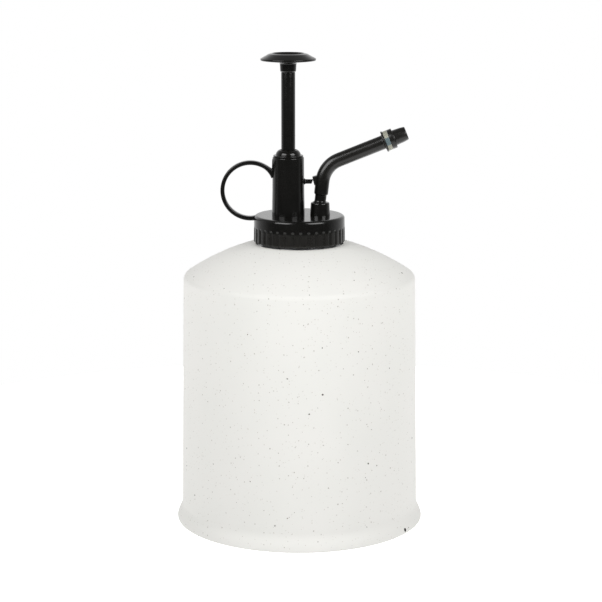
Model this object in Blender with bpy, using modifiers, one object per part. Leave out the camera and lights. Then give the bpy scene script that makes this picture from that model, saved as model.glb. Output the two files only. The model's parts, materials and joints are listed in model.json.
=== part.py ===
"""Hand mister: an enamelled steel bottle with a screw-on pump head.

Metres, +Z up. The origin is on the bottle's axis, on the plane it stands on. The finger ring
points to -X and the spout to +X. Heights named ..._Z are measured from the standing plane.
"""

from math import asin, cos, pi, radians, sin, sqrt, tan

import bmesh
import bpy
from mathutils import Matrix, Vector

MM = 0.001
GAP = 0.3 * MM                      # between pieces that touch or slide in each other
EDGE = 0.4 * MM                     # usual chamfer or rounding of an edge
FINE_EDGE = 0.2 * MM                # on small pieces
OVERRUN = 1.0 * MM                  # of a cutter past what it cuts, or of a joined shape into its neighbour

# Bottle
BOTTLE_WALL = 0.8 * MM
FOOT_RADIUS = 53.0 * MM             # outside of the flared foot
FLARE_HEIGHT = 7.6 * MM
BODY_LOW_RADIUS = 50.8 * MM         # just above the flare
BODY_TOP_RADIUS = 49.15 * MM        # at the shoulder's corner
SHOULDER_Z = 106.2 * MM
SHOULDER_FILLET = 3.0 * MM
SHOULDER_ARC = 102.0 * MM           # radius of the domed shoulder's section
SEAT_RADIUS = 20.1 * MM             # flat seat under the cap
SEAT_Z = 120.05 * MM
BASE_Z = 4.2 * MM                   # underside of the pressed-in base
BASE_SKIRT = 4.8 * MM
BASE_MIDDLE_RADIUS = 30.0 * MM      # of the raised middle, which slopes down to BASE_STEP_RADIUS
BASE_STEP_RADIUS = 34.0 * MM
BASE_RAISE = 1.2 * MM
BASE_CORNER = 1.0 * MM
HEM_RADIUS = 51.4 * MM              # inside of the hemmed edge that the bottle stands on
HEM_HEIGHT = 3.1 * MM

# Neck, gasket and cap
NECK_BORE = 13.2 * MM
NECK_ROOT = 14.9 * MM
NECK_CREST = 15.8 * MM
NECK_TOP_Z = 128.9 * MM
NECK_FLANGE_RADIUS = 18.6 * MM
NECK_FLANGE_THICKNESS = 1.2 * MM
NECK_COLLAR_HEIGHT = 0.9 * MM       # plain part below the thread, above the seat
NECK_THREAD_Z = 122.9 * MM
CAP_THREAD_Z = 123.2 * MM
THREAD_PITCH = 2.6 * MM
THREAD_TURNS = 1.5
GASKET_THICKNESS = 0.9 * MM
GASKET_BORE = 12.9 * MM
CAP_BOTTOM_Z = 120.75 * MM
RIB_TOP_Z = 127.0 * MM
DECK_Z = 132.0 * MM
DECK_THICKNESS = 1.6 * MM
DECK_EDGE = 1.4 * MM                # rounding between deck and band
BAND_RADIUS = 19.15 * MM
RIB_RADIUS = 19.35 * MM
FLUTE_RADIUS = 18.65 * MM            # between the ribs, set in from the plain band
RIB_COUNT = 36
RIB_TURN = radians(-3.2)           # a rib's middle, past the front
CAP_BORE = 16.9 * MM

# Pump tower, on its own axis beside the bottle's
TOWER_X = -4.65 * MM
TOWER_RADIUS = 6.75 * MM
TOWER_BORE = 5.5 * MM
TOWER_TOP_Z = 156.6 * MM
TOWER_TOP_RADIUS = 6.6 * MM         # drawn in a little for the mould
TOWER_FOOT_RADIUS = 6.95 * MM
PAD_DEPTH = 0.3 * MM                # raised pad that the finger ring grows from
PAD_BOTTOM_Z = 148.8 * MM
PAD_TOP_Z = 155.9 * MM
PEG_RADIUS = 0.9 * MM
PEG_Z = 146.2 * MM
PEG_TIP_X = 5.7 * MM
PEG_TIP_EDGE = 0.6 * MM
PEG_ROOT_LENGTH = 1.2 * MM          # conical fillet where it leaves the tower
PEG_ROOT_FLARE = 0.7 * MM

# Finger ring
RING_X = -20.6 * MM
RING_Z = 142.4 * MM
RING_OUTER = 12.65 * MM
RING_INNER = 11.1 * MM
RING_WIDTH = 3.6 * MM

# Pump, inside the tower and the neck
CYLINDER_RADIUS = 5.2 * MM
CYLINDER_BORE = 4.4 * MM
CYLINDER_TOP_Z = 148.5 * MM
CYLINDER_BOTTOM_Z = 98.3 * MM
CYLINDER_FLANGE = 7.2 * MM
CYLINDER_FLANGE_THICKNESS = 1.0 * MM
SEAL_THICKNESS = 1.6 * MM
GLAND_FLANGE_RADIUS = 6.3 * MM
GLAND_FLANGE_Z = 157.4 * MM         # top of the flange that sits on the tower
DOME_RADIUS = 5.25 * MM
DOME_TOP_Z = 159.6 * MM
DOME_ARC = 3.2 * MM
ROD_RADIUS = 2.95 * MM
ROD_HOLE = 3.25 * MM
PISTON_RADIUS = 4.1 * MM
PISTON_BOTTOM_Z = 141.8 * MM
PISTON_TOP_Z = 147.0 * MM
GROOVE_RADIUS = 3.0 * MM
GROOVE_BOTTOM_Z = 143.4 * MM
GROOVE_TOP_Z = 145.4 * MM
SPIGOT_RADIUS = 1.4 * MM            # the rod's lower end, in the piston
SPIGOT_END_Z = 144.4 * MM
SEAL_SIDE = 0.2 * MM                # clearance round the piston's seal, in its groove
SEAL_PROUD = 0.1 * MM
SPRING_RADIUS = 3.5 * MM
SPRING_WIRE = 0.35 * MM
SPRING_TURNS = 7
SPRING_BOTTOM_Z = 101.4 * MM
SPRING_TOP_Z = 141.4 * MM

# Knob
COLLAR_BOTTOM_Z = 192.2 * MM
COLLAR_RADIUS = 3.4 * MM
KNOB_RADIUS = 11.6 * MM
KNOB_RIM_Z = 197.4 * MM
KNOB_TOP_Z = 200.0 * MM
KNOB_LIP_RADIUS = 6.9 * MM          # crest of the lip round the dish
KNOB_BROW_RADIUS = 8.1 * MM         # where the gentle slope turns into the steeper one
KNOB_BROW_Z = 199.7 * MM
KNOB_DISH_DEPTH = 1.1 * MM
KNOB_LIP_SLOPE = 0.5 * MM           # across the lip's inner side
KNOB_EDGE = 0.35 * MM
KNOB_UNDERSIDE_Z = 196.1 * MM       # where the conical underside meets the collar
COLLAR_FLARE = 0.4 * MM
COLLAR_DRAFT = 0.15 * MM
COLLAR_CHAMFER = 0.5 * MM
KNOB_SOCKET = 2.3 * MM
KNOB_SOCKET_TOP_Z = 196.6 * MM

# Valve body, at the cylinder's lower end: inlet below the piston, outlet beside it
SPOUT_X = 8.75 * MM                 # axis of the riser, its valve and the spout's socket
VALVE_TOP_Z = 98.0 * MM
VALVE_SPIGOT_Z = 101.0 * MM
VALVE_SPIGOT_RADIUS = 4.1 * MM
VALVE_BLOCK_Z = 87.0 * MM
VALVE_BOTTOM_Z = 81.0 * MM
VALVE_SOCKET_RADIUS = 3.9 * MM
INLET_CHAMBER = 3.0 * MM
INLET_THROAT = 1.5 * MM
INLET_SEAT_Z = 89.5 * MM
INLET_SEAT_HEIGHT = 2.0 * MM
INLET_BALL = 2.0 * MM
GALLERY_Z = 94.2 * MM
GALLERY_RADIUS = 1.1 * MM
BRIDGE_WIDTH = 4.4 * MM
BRIDGE_HEIGHT = 4.6 * MM
OUTLET_RADIUS = 3.4 * MM
OUTLET_BOTTOM_Z = 91.0 * MM
OUTLET_THROAT = 0.9 * MM
OUTLET_CHAMBER = 1.9 * MM
OUTLET_SEAT_Z = 96.0 * MM
OUTLET_SEAT_HEIGHT = 1.0 * MM
OUTLET_BALL = 1.3 * MM
OUTLET_STOP_Z = 104.0 * MM
OUTLET_TOP_Z = 108.0 * MM
BALL_CLEARANCE = 0.15 * MM
OUTLET_SPRING_RADIUS = 1.2 * MM
OUTLET_SPRING_WIRE = 0.2 * MM
OUTLET_SPRING_TURNS = 4
DIP_RADIUS = 2.6 * MM
DIP_BORE = 1.7 * MM
DIP_BOTTOM_Z = 9.0 * MM
DIP_TOP_Z = 86.2 * MM
DIP_SLANT = radians(35)             # of its lower end
RISER_RADIUS = 2.3 * MM
RISER_BORE = 1.1 * MM
RISER_TOP_Z = 133.3 * MM

# Spout
SOCKET_FOOT_RADIUS = 4.25 * MM
SOCKET_TOP_RADIUS = 3.9 * MM
SOCKET_TOP_Z = 137.4 * MM
SOCKET_BORE = 2.7 * MM
SOCKET_EDGE = 0.6 * MM
SPOUT_FOOT_Z = 134.7 * MM
SPOUT_STEP_Z = 141.0 * MM           # where the spigot widens into the tube
SPOUT_SPIGOT = 2.35 * MM
SPOUT_RADIUS = 2.9 * MM
SPOUT_BORE = 1.1 * MM
ELBOW = Vector((10.45, 0.0, 152.9)) * MM
ELBOW_RADIUS = 11.0 * MM
SPOUT_SLOPE = radians(21.8)
SPOUT_REACH = 27.3 * MM             # elbow to the front flange's middle
LUG_TOP_Z = 148.5 * MM
LUG_HEIGHT = 3.5 * MM
LUG_WIDTH = 3.0 * MM
LUG_LENGTH = 2.8 * MM
LUG_FACE_X = 5.95 * MM
LUG_TILT = radians(-14.0)           # its face slants in to the tube at its foot

# Spout's front, in distances along its axis from the front flange's middle
FLANGE_RADIUS = 4.55 * MM
FLANGE_HALF = 0.35 * MM
TIP_TUBE_RADIUS = 1.9 * MM
TIP_TUBE_END = 5.6 * MM
WASHER_START = 0.5 * MM
WASHER_END = 2.2 * MM
WASHER_RADIUS = 4.25 * MM
NOZZLE_START = 2.35 * MM
NOZZLE_FLANGE_END = 4.3 * MM
NOZZLE_END = 9.9 * MM
NOZZLE_FLANGE_RADIUS = 4.22 * MM
NOZZLE_BASE_RADIUS = 3.22 * MM
NOZZLE_TIP_RADIUS = 2.75 * MM
NOZZLE_BORE = 2.2 * MM
SWIRL_CHAMBER = 2.0 * MM
SWIRL_START = 5.9 * MM
SWIRL_END = 8.4 * MM
SWIRL_RADIUS = 1.7 * MM
SWIRL_SLOT_WIDTH = 0.6 * MM
SWIRL_SLOT_DEPTH = 0.6 * MM
ORIFICE = 0.45 * MM

STEPS_LARGE = 48
STEPS = 28
STEPS_SMALL = 18

# Colour, roughness and metallic value of each material
MATERIALS = {
    "enamel": ((0.86, 0.85, 0.81), 0.35, 0.0),
    "steel": ((0.55, 0.56, 0.57), 0.35, 1.0),
    "spring_steel": ((0.62, 0.62, 0.63), 0.25, 1.0),
    "black_plastic": ((0.018, 0.018, 0.018), 0.3, 0.0),
    "natural_plastic": ((0.80, 0.82, 0.82), 0.4, 0.0),
    "pale_washer": ((0.82, 0.84, 0.80), 0.4, 0.0),
    "rubber": ((0.03, 0.03, 0.03), 0.7, 0.0),
}


# Helpers

def clear_scene():
    """Removes whatever the scene holds."""
    for item in list(bpy.data.objects):
        bpy.data.objects.remove(item, do_unlink=True)


def collection(name):
    group = bpy.data.collections.new(name)
    bpy.context.scene.collection.children.link(group)
    return group


def material(kind, name):
    """A sub-part's own Principled material."""
    colour, roughness, metallic = MATERIALS[kind]
    result = bpy.data.materials.new(name)
    result.use_nodes = True
    shader = result.node_tree.nodes["Principled BSDF"]
    shader.inputs["Base Color"].default_value = (*colour, 1.0)
    shader.inputs["Roughness"].default_value = roughness
    shader.inputs["Metallic"].default_value = metallic
    return result


def add(name, data, kind=None, location=(0, 0, 0), rotation=(0, 0, 0)):
    """Puts an object in the part's collection, or a cutter where no material is given."""
    item = bpy.data.objects.new(name, data)
    item.location = location
    item.rotation_euler = rotation
    if kind is None:
        CUTTERS.objects.link(item)
        item.hide_render = True
        item.display_type = "WIRE"
    else:
        PARTS.objects.link(item)
        data.materials.append(material(kind, name))
    return item


def arc(start, end, radius, segments):
    """Points on the short arc between two outline points, which bulges left of start to end."""
    start, end = Vector(start), Vector(end)
    chord = end - start
    middle = (start + end) / 2
    rise = sqrt(radius ** 2 - (chord.length / 2) ** 2)
    normal = Vector((-chord.y, chord.x)).normalized()
    centre = middle - normal * rise
    sweep = 2 * asin(chord.length / 2 / radius)
    points = []
    for i in range(segments + 1):
        turn = Matrix.Rotation(-sweep * i / segments, 2)
        points.append(centre + turn @ (start - centre))
    return [tuple(point) for point in points]


def rounded(points, segments=3):
    """An outline of (r, z) or (r, z, fillet) points, with its fillets worked out as arcs."""
    outline = []
    for i, point in enumerate(points):
        corner = Vector(point[:2])
        if len(point) == 2:
            outline.append(tuple(corner))
            continue
        back = (Vector(points[i - 1][:2]) - corner).normalized()
        ahead = (Vector(points[(i + 1) % len(points)][:2]) - corner).normalized()
        half = back.angle(ahead) / 2
        centre = corner + (back + ahead).normalized() * (point[2] / sin(half))
        start = corner + back * (point[2] / tan(half)) - centre
        turn = (pi - 2 * half) * (1 if back.x * ahead.y - back.y * ahead.x < 0 else -1)
        for k in range(segments + 1):
            outline.append(tuple(centre + Matrix.Rotation(turn * k / segments, 2) @ start))
    return outline


def turned(name, points, kind=None, steps=STEPS, x=0.0, closed=False, **place):
    """A turned shape: an outline of (r, z) points, down its outer side, and a Screw modifier."""
    mesh = bpy.data.meshes.new(name)
    count = len(points)
    edges = [(i, i + 1) for i in range(count - 1)]
    if closed:
        edges.append((count - 1, 0))
    mesh.from_pydata([(r, 0.0, z) for r, z in points], edges, [])
    place.setdefault("location", (x, 0.0, 0.0))
    item = add(name, mesh, kind, **place)
    screw = item.modifiers.new("turn", "SCREW")
    screw.steps = steps
    screw.render_steps = steps
    screw.use_merge_vertices = True
    screw.merge_threshold = 0.00001
    screw.use_smooth_shade = False
    return item


def solid_rod(name, radius, low, high, kind=None, steps=STEPS, x=0.0, **place):
    """A plain cylinder between two heights on an upright axis, or along its own axis if placed."""
    return turned(name, [(0, high), (radius, high), (radius, low), (0, low)], kind, steps, x, **place)


def tube(name, outer, inner, low, high, kind, steps=STEPS, x=0.0, **place):
    """A plain tube between two heights."""
    points = [(outer, high), (outer, low), (inner, low), (inner, high)]
    return turned(name, points, kind, steps, x, True, **place)


def block(name, size, location, kind=None, rotation=(0, 0, 0)):
    """A box of the given size about its location."""
    shape = bmesh.new()
    bmesh.ops.create_cube(shape, size=1.0)
    bmesh.ops.scale(shape, vec=size, verts=shape.verts)
    mesh = bpy.data.meshes.new(name)
    shape.to_mesh(mesh)
    shape.free()
    return add(name, mesh, kind, location, rotation)


def ball(name, radius, location, kind):
    shape = bmesh.new()
    bmesh.ops.create_uvsphere(shape, u_segments=12, v_segments=8, radius=radius)
    mesh = bpy.data.meshes.new(name)
    shape.to_mesh(mesh)
    shape.free()
    return add(name, mesh, kind, location)


def swept(name, points, radius, kind=None, resolution=2, location=(0, 0, 0)):
    """A round bar or wire through the given points, with closed ends."""
    curve = bpy.data.curves.new(name, "CURVE")
    curve.dimensions = "3D"
    curve.bevel_depth = radius
    curve.bevel_resolution = resolution
    curve.use_fill_caps = True
    spline = curve.splines.new("POLY")
    spline.points.add(len(points) - 1)
    for point, place in zip(spline.points, points):
        point.co = (*place, 1.0)
    return add(name, curve, kind, location)


def as_mesh(item, kind=None):
    """The same shape as a welded mesh, in place of a curve, so that it can be cut and joined."""
    graph = bpy.context.evaluated_depsgraph_get()
    mesh = bpy.data.meshes.new_from_object(item.evaluated_get(graph))
    shape = bmesh.new()
    shape.from_mesh(mesh)
    bmesh.ops.remove_doubles(shape, verts=shape.verts, dist=0.000001)
    shape.to_mesh(mesh)
    shape.free()
    mesh.materials.clear()
    name, placed = item.name, item.matrix_world.copy()
    bpy.data.objects.remove(item, do_unlink=True)
    result = add(name, mesh, kind)
    result.matrix_world = placed
    return result


def coil(radius, low, high, turns, points_per_turn=10):
    """Points up a helix about the Z axis."""
    count = turns * points_per_turn
    places = []
    for i in range(count + 1):
        angle = 2 * pi * i / points_per_turn
        places.append((radius * cos(angle), radius * sin(angle), low + (high - low) * i / count))
    return places


def thread_ridge(name, wall, crest, low):
    """A helical ridge between its wall and its crest, with both ends running out into the wall."""
    per_turn = 24
    count = round(THREAD_TURNS * per_turn)
    root = wall - (crest - wall) * 0.4      # sunk in the wall, so that the two can be joined
    half_root, half_crest = 0.36 * THREAD_PITCH, 0.14 * THREAD_PITCH
    shape = bmesh.new()
    rings = []
    for i in range(count + 1):
        angle = 2 * pi * i / per_turn
        height = low + THREAD_PITCH * i / per_turn
        fade = min(1.0, i / 4, (count - i) / 4)
        top = wall + (crest - wall) * (fade * 1.15 - 0.15)
        ring = []
        for r, z in ((root, half_root), (top, half_crest), (top, -half_crest), (root, -half_root)):
            ring.append(shape.verts.new((r * cos(angle), r * sin(angle), height + z)))
        rings.append(ring)
    for lower, upper in zip(rings, rings[1:]):
        for k in range(4):
            shape.faces.new((lower[k], lower[k - 1], upper[k - 1], upper[k]))
    shape.faces.new(rings[0])
    shape.faces.new(reversed(rings[-1]))
    bmesh.ops.recalc_face_normals(shape, faces=shape.faces)
    mesh = bpy.data.meshes.new(name)
    shape.to_mesh(mesh)
    shape.free()
    return add(name, mesh)


def combine(item, operation, *others):
    """Cuts the others from a piece, or joins them to it."""
    for other in others:
        modifier = item.modifiers.new(other.name, "BOOLEAN")
        modifier.operation = operation
        modifier.solver = "EXACT"
        modifier.object = other


def cut(item, *others):
    combine(item, "DIFFERENCE", *others)


def join(item, *others):
    combine(item, "UNION", *others)


# Bottle

def flare_radius(z):
    """Outside of the foot's flare, which eases out of the wall and into the foot."""
    share = (1 + cos(pi * z / FLARE_HEIGHT)) / 2
    return BODY_LOW_RADIUS + (FOOT_RADIUS - BODY_LOW_RADIUS) * share


def make_bottle_shell():
    hole = NECK_CREST + GAP
    wall = BOTTLE_WALL
    outer = [(hole, SEAT_Z), (SEAT_RADIUS, SEAT_Z)]
    outer += arc((SEAT_RADIUS, SEAT_Z), (BODY_TOP_RADIUS, SHOULDER_Z), SHOULDER_ARC, 6)[1:-1]
    outer.append((BODY_TOP_RADIUS, SHOULDER_Z, SHOULDER_FILLET))
    levels = [FLARE_HEIGHT * (1 - i / 6) for i in range(6)]
    outer += [(flare_radius(z), z) for z in levels]
    outer += [(FOOT_RADIUS, EDGE), (FOOT_RADIUS - EDGE, 0)]
    inner = [(HEM_RADIUS, 0), (HEM_RADIUS, HEM_HEIGHT)]
    inner += [(flare_radius(z) - wall, z) for z in reversed(levels[:4])]
    inner.append((BODY_TOP_RADIUS - wall, SHOULDER_Z - wall / 2, SHOULDER_FILLET - wall))
    low = (SEAT_RADIUS, SEAT_Z - wall)
    high = (BODY_TOP_RADIUS - wall, SHOULDER_Z - wall / 2)
    inner += reversed(arc(low, high, SHOULDER_ARC - wall, 3)[1:-1])
    inner += [low, (hole, SEAT_Z - wall)]
    turned("bottle_shell", rounded(outer + inner), "enamel", STEPS_LARGE, closed=True)


def make_bottle_base():
    """A pressed disc with an upright skirt and a raised middle, held inside the flare."""
    edge = BODY_LOW_RADIUS - BOTTLE_WALL - GAP
    wall = BOTTLE_WALL
    points = [
        (0, BASE_Z + wall + BASE_RAISE),
        (BASE_MIDDLE_RADIUS, BASE_Z + wall + BASE_RAISE),
        (BASE_STEP_RADIUS, BASE_Z + wall),
        (edge - wall, BASE_Z + wall),
        (edge - wall, BASE_Z + BASE_SKIRT),
        (edge, BASE_Z + BASE_SKIRT),
        (edge, BASE_Z, BASE_CORNER),
        (BASE_STEP_RADIUS + GAP, BASE_Z),
        (BASE_MIDDLE_RADIUS + GAP, BASE_Z + BASE_RAISE),
        (0, BASE_Z + BASE_RAISE),
    ]
    turned("bottle_base", rounded(points, 2), "enamel", STEPS_LARGE)


def make_threaded_neck():
    flange_top = SEAT_Z - BOTTLE_WALL - GAP
    flange_bottom = flange_top - NECK_FLANGE_THICKNESS
    points = [
        (NECK_ROOT - EDGE, NECK_TOP_Z),
        (NECK_ROOT, NECK_TOP_Z - EDGE),
        (NECK_ROOT, SEAT_Z + NECK_COLLAR_HEIGHT),
        (NECK_CREST, SEAT_Z + NECK_COLLAR_HEIGHT - EDGE),
        (NECK_CREST, flange_top),
        (NECK_FLANGE_RADIUS, flange_top),
        (NECK_FLANGE_RADIUS, flange_bottom),
        (NECK_BORE, flange_bottom),
        (NECK_BORE, NECK_TOP_Z),
    ]
    neck = turned("threaded_neck", points, "steel", 40, closed=True)
    join(neck, thread_ridge("neck_thread", NECK_ROOT, NECK_CREST, NECK_THREAD_Z))


def make_neck_gasket():
    low = NECK_TOP_Z + GAP
    tube("neck_gasket", NECK_CREST, GASKET_BORE, low, low + GASKET_THICKNESS, "rubber", 48)


# Cap

def rib_ring():
    """A prism with the grip ribs round it, its top and bottom edges chamfered."""
    points_per_rib = 4
    count = RIB_COUNT * points_per_rib
    shape = bmesh.new()
    bmesh.ops.create_cone(
        shape, cap_ends=True, segments=count, radius1=1.0, radius2=1.0, depth=RIB_TOP_Z - CAP_BOTTOM_Z)
    for vert in shape.verts:
        angle = vert.co.xy.angle_signed(Vector((1, 0)))
        place = round(angle / (2 * pi) * count) % points_per_rib
        radius = RIB_RADIUS if place < points_per_rib / 2 else FLUTE_RADIUS
        vert.co.xy = vert.co.xy.normalized() * radius
    mesh = bpy.data.meshes.new("rib_ring")
    shape.to_mesh(mesh)
    shape.free()
    half_crest = pi / count
    ribs = add("rib_ring", mesh, location=(0, 0, (RIB_TOP_Z + CAP_BOTTOM_Z) / 2),
               rotation=(0, 0, RIB_TURN - half_crest))
    chamfer = ribs.modifiers.new("chamfer", "BEVEL")
    chamfer.width = EDGE
    chamfer.segments = 1
    chamfer.limit_method = "ANGLE"
    chamfer.angle_limit = radians(80)
    return ribs


def make_screw_cap():
    core = FLUTE_RADIUS - EDGE
    band_bottom = RIB_TOP_Z - GAP
    core_bottom = CAP_BOTTOM_Z + 2 * GAP
    points = [
        (0, DECK_Z),
        (BAND_RADIUS, DECK_Z, DECK_EDGE),
        (BAND_RADIUS, band_bottom),
        (core, band_bottom + core - BAND_RADIUS),
        (core, core_bottom),
        (0, core_bottom),
    ]
    cap = turned("screw_cap", rounded(points), "black_plastic", STEPS_LARGE)
    join(cap, rib_ring())
    deck_bottom = DECK_Z - DECK_THICKNESS
    cut(cap, solid_rod("cap_inside", CAP_BORE, CAP_BOTTOM_Z - OVERRUN, deck_bottom, steps=STEPS_LARGE))
    join(cap, thread_ridge("cap_thread", CAP_BORE, NECK_CREST + GAP, CAP_THREAD_Z))
    low, high = deck_bottom - OVERRUN, DECK_Z + OVERRUN
    cut(cap, solid_rod("pump_hole", TOWER_BORE, low, high, x=TOWER_X))
    cut(cap, solid_rod("riser_hole", RISER_RADIUS + GAP, low, high, steps=STEPS_SMALL, x=SPOUT_X))


# Tower and finger ring

def make_pump_tower():
    foot = DECK_Z + GAP
    points = [
        (TOWER_TOP_RADIUS - FINE_EDGE, TOWER_TOP_Z),
        (TOWER_TOP_RADIUS, TOWER_TOP_Z - FINE_EDGE),
        (TOWER_RADIUS, PAD_BOTTOM_Z),
        (TOWER_FOOT_RADIUS, foot),
        (TOWER_BORE, foot),
        (TOWER_BORE, TOWER_TOP_Z),
    ]
    tower = turned("pump_tower", points, "black_plastic", x=TOWER_X, closed=True)
    wall = TOWER_RADIUS - TOWER_BORE
    pad_height = PAD_TOP_Z - PAD_BOTTOM_Z
    left = TOWER_X - TOWER_RADIUS - PAD_DEPTH
    pad = block("ring_pad", (wall, RING_WIDTH, pad_height),
                (left + wall / 2, 0, PAD_BOTTOM_Z + pad_height / 2))
    start = TOWER_X + (TOWER_RADIUS + TOWER_BORE) / 2
    length = PEG_TIP_X - start
    root = PEG_ROOT_LENGTH
    place = {"location": (start, 0, PEG_Z), "rotation": (0, radians(90), 0)}
    bar_outline = [(0, length), (PEG_RADIUS * 0.6, length), (PEG_RADIUS, length - PEG_TIP_EDGE),
                   (PEG_RADIUS, 0), (0, 0)]
    peg = turned("peg_bar", bar_outline, steps=16, **place)
    root_outline = [(0, root), (PEG_RADIUS * 0.9, root), (PEG_RADIUS + PEG_ROOT_FLARE, 0), (0, 0)]
    collar = turned("peg_root", root_outline, steps=16, **place)
    join(tower, pad, peg, collar)
    cut(tower, solid_rod("tower_bore", TOWER_BORE, foot - OVERRUN, TOWER_TOP_Z + OVERRUN, x=TOWER_X))


def make_finger_ring():
    """A band turned about the Y direction, open where the tower and the cap close it."""
    half = RING_WIDTH / 2
    points = [(RING_OUTER, half, EDGE), (RING_OUTER, -half, EDGE),
              (RING_INNER, -half, EDGE), (RING_INNER, half, EDGE)]
    ring = turned("finger_ring", rounded(points, 2), "black_plastic", STEPS_LARGE, closed=True,
                  location=(RING_X, 0, RING_Z), rotation=(radians(90), 0, 0))
    reach = PAD_DEPTH + GAP
    bottom = RING_Z - RING_OUTER - OVERRUN
    cut(ring, solid_rod("ring_tower_side", TOWER_RADIUS + reach, bottom, TOWER_TOP_Z + OVERRUN,
                        steps=STEPS_LARGE, x=TOWER_X))
    cut(ring, solid_rod("ring_cap_side", BAND_RADIUS + GAP, bottom, RING_Z, steps=STEPS_LARGE))


# Pump

def make_pump_cylinder():
    flange_top = DECK_Z - DECK_THICKNESS - GAP
    flange_bottom = flange_top - CYLINDER_FLANGE_THICKNESS
    points = [
        (CYLINDER_RADIUS, CYLINDER_TOP_Z),
        (CYLINDER_RADIUS, flange_top),
        (CYLINDER_FLANGE, flange_top),
        (CYLINDER_FLANGE, flange_bottom),
        (CYLINDER_RADIUS, flange_bottom),
        (CYLINDER_RADIUS, CYLINDER_BOTTOM_Z),
        (CYLINDER_BORE, CYLINDER_BOTTOM_Z),
        (CYLINDER_BORE, CYLINDER_TOP_Z),
    ]
    turned("pump_cylinder", points, "natural_plastic", x=TOWER_X, closed=True)


def make_rod_seal():
    low = CYLINDER_TOP_Z + GAP
    tube("rod_seal", CYLINDER_RADIUS, ROD_HOLE, low, low + SEAL_THICKNESS, "rubber", x=TOWER_X)


def make_gland_cap():
    bottom = CYLINDER_TOP_Z + 2 * GAP + SEAL_THICKNESS
    seat = TOWER_TOP_Z + GAP / 2
    skirt = TOWER_BORE - GAP
    edge = FINE_EDGE
    points = [(ROD_HOLE, DOME_TOP_Z)]
    points += arc((ROD_HOLE + edge, DOME_TOP_Z), (DOME_RADIUS, GLAND_FLANGE_Z + edge), DOME_ARC, 4)
    points += [(DOME_RADIUS, GLAND_FLANGE_Z), (GLAND_FLANGE_RADIUS - edge, GLAND_FLANGE_Z),
               (GLAND_FLANGE_RADIUS, GLAND_FLANGE_Z - edge), (GLAND_FLANGE_RADIUS, seat),
               (skirt, seat), (skirt, bottom), (ROD_HOLE, bottom)]
    turned("gland_cap", points, "black_plastic", x=TOWER_X, closed=True)


def make_plunger_rod():
    spigot_top = KNOB_SOCKET_TOP_Z - GAP
    spigot = KNOB_SOCKET - GAP
    shoulder = COLLAR_BOTTOM_Z - GAP
    piston_end = PISTON_TOP_Z + GAP
    points = [
        (0, spigot_top),
        (spigot, spigot_top),
        (spigot, shoulder),
        (ROD_RADIUS, shoulder),
        (ROD_RADIUS, piston_end),
        (SPIGOT_RADIUS, piston_end),
        (SPIGOT_RADIUS, SPIGOT_END_Z),
        (0, SPIGOT_END_Z),
    ]
    turned("plunger_rod", points, "black_plastic", 24, x=TOWER_X)


def make_plunger_knob():
    dish = KNOB_TOP_Z - KNOB_DISH_DEPTH
    points = [
        (0, dish),
        (KNOB_LIP_RADIUS - KNOB_LIP_SLOPE, dish),
        (KNOB_LIP_RADIUS, KNOB_TOP_Z),
        (KNOB_BROW_RADIUS, KNOB_BROW_Z),
        (KNOB_RADIUS - KNOB_EDGE, KNOB_RIM_Z + KNOB_EDGE),
        (KNOB_RADIUS, KNOB_RIM_Z),
        (KNOB_RADIUS - KNOB_EDGE, KNOB_RIM_Z - 2 * FINE_EDGE),
        (COLLAR_RADIUS + COLLAR_FLARE, KNOB_UNDERSIDE_Z),
        (COLLAR_RADIUS, KNOB_UNDERSIDE_Z - COLLAR_FLARE),
        (COLLAR_RADIUS - COLLAR_DRAFT, COLLAR_BOTTOM_Z + COLLAR_CHAMFER),
        (COLLAR_RADIUS - COLLAR_CHAMFER, COLLAR_BOTTOM_Z),
        (KNOB_SOCKET, COLLAR_BOTTOM_Z),
        (KNOB_SOCKET, KNOB_SOCKET_TOP_Z),
        (0, KNOB_SOCKET_TOP_Z),
    ]
    turned("plunger_knob", points, "black_plastic", x=TOWER_X)


def make_piston():
    hole = SPIGOT_RADIUS + GAP
    hole_bottom = SPIGOT_END_Z - GAP
    points = [
        (0, hole_bottom),
        (hole, hole_bottom),
        (hole, PISTON_TOP_Z),
        (PISTON_RADIUS, PISTON_TOP_Z),
        (PISTON_RADIUS, GROOVE_TOP_Z),
        (GROOVE_RADIUS, GROOVE_TOP_Z),
        (GROOVE_RADIUS, GROOVE_BOTTOM_Z),
        (PISTON_RADIUS, GROOVE_BOTTOM_Z),
        (PISTON_RADIUS, PISTON_BOTTOM_Z),
        (0, PISTON_BOTTOM_Z),
    ]
    turned("piston", points, "natural_plastic", 24, x=TOWER_X)


def make_piston_seal():
    tube("piston_seal", PISTON_RADIUS + SEAL_PROUD, GROOVE_RADIUS + SEAL_SIDE,
         GROOVE_BOTTOM_Z + SEAL_SIDE, GROOVE_TOP_Z - SEAL_SIDE, "rubber", 24, x=TOWER_X)


def make_return_spring():
    ends = SPRING_WIRE
    points = coil(SPRING_RADIUS, SPRING_BOTTOM_Z + ends, SPRING_TOP_Z - ends, SPRING_TURNS)
    swept("return_spring", points, SPRING_WIRE, "spring_steel", location=(TOWER_X, 0, 0))


# Valves and tubes

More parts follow.
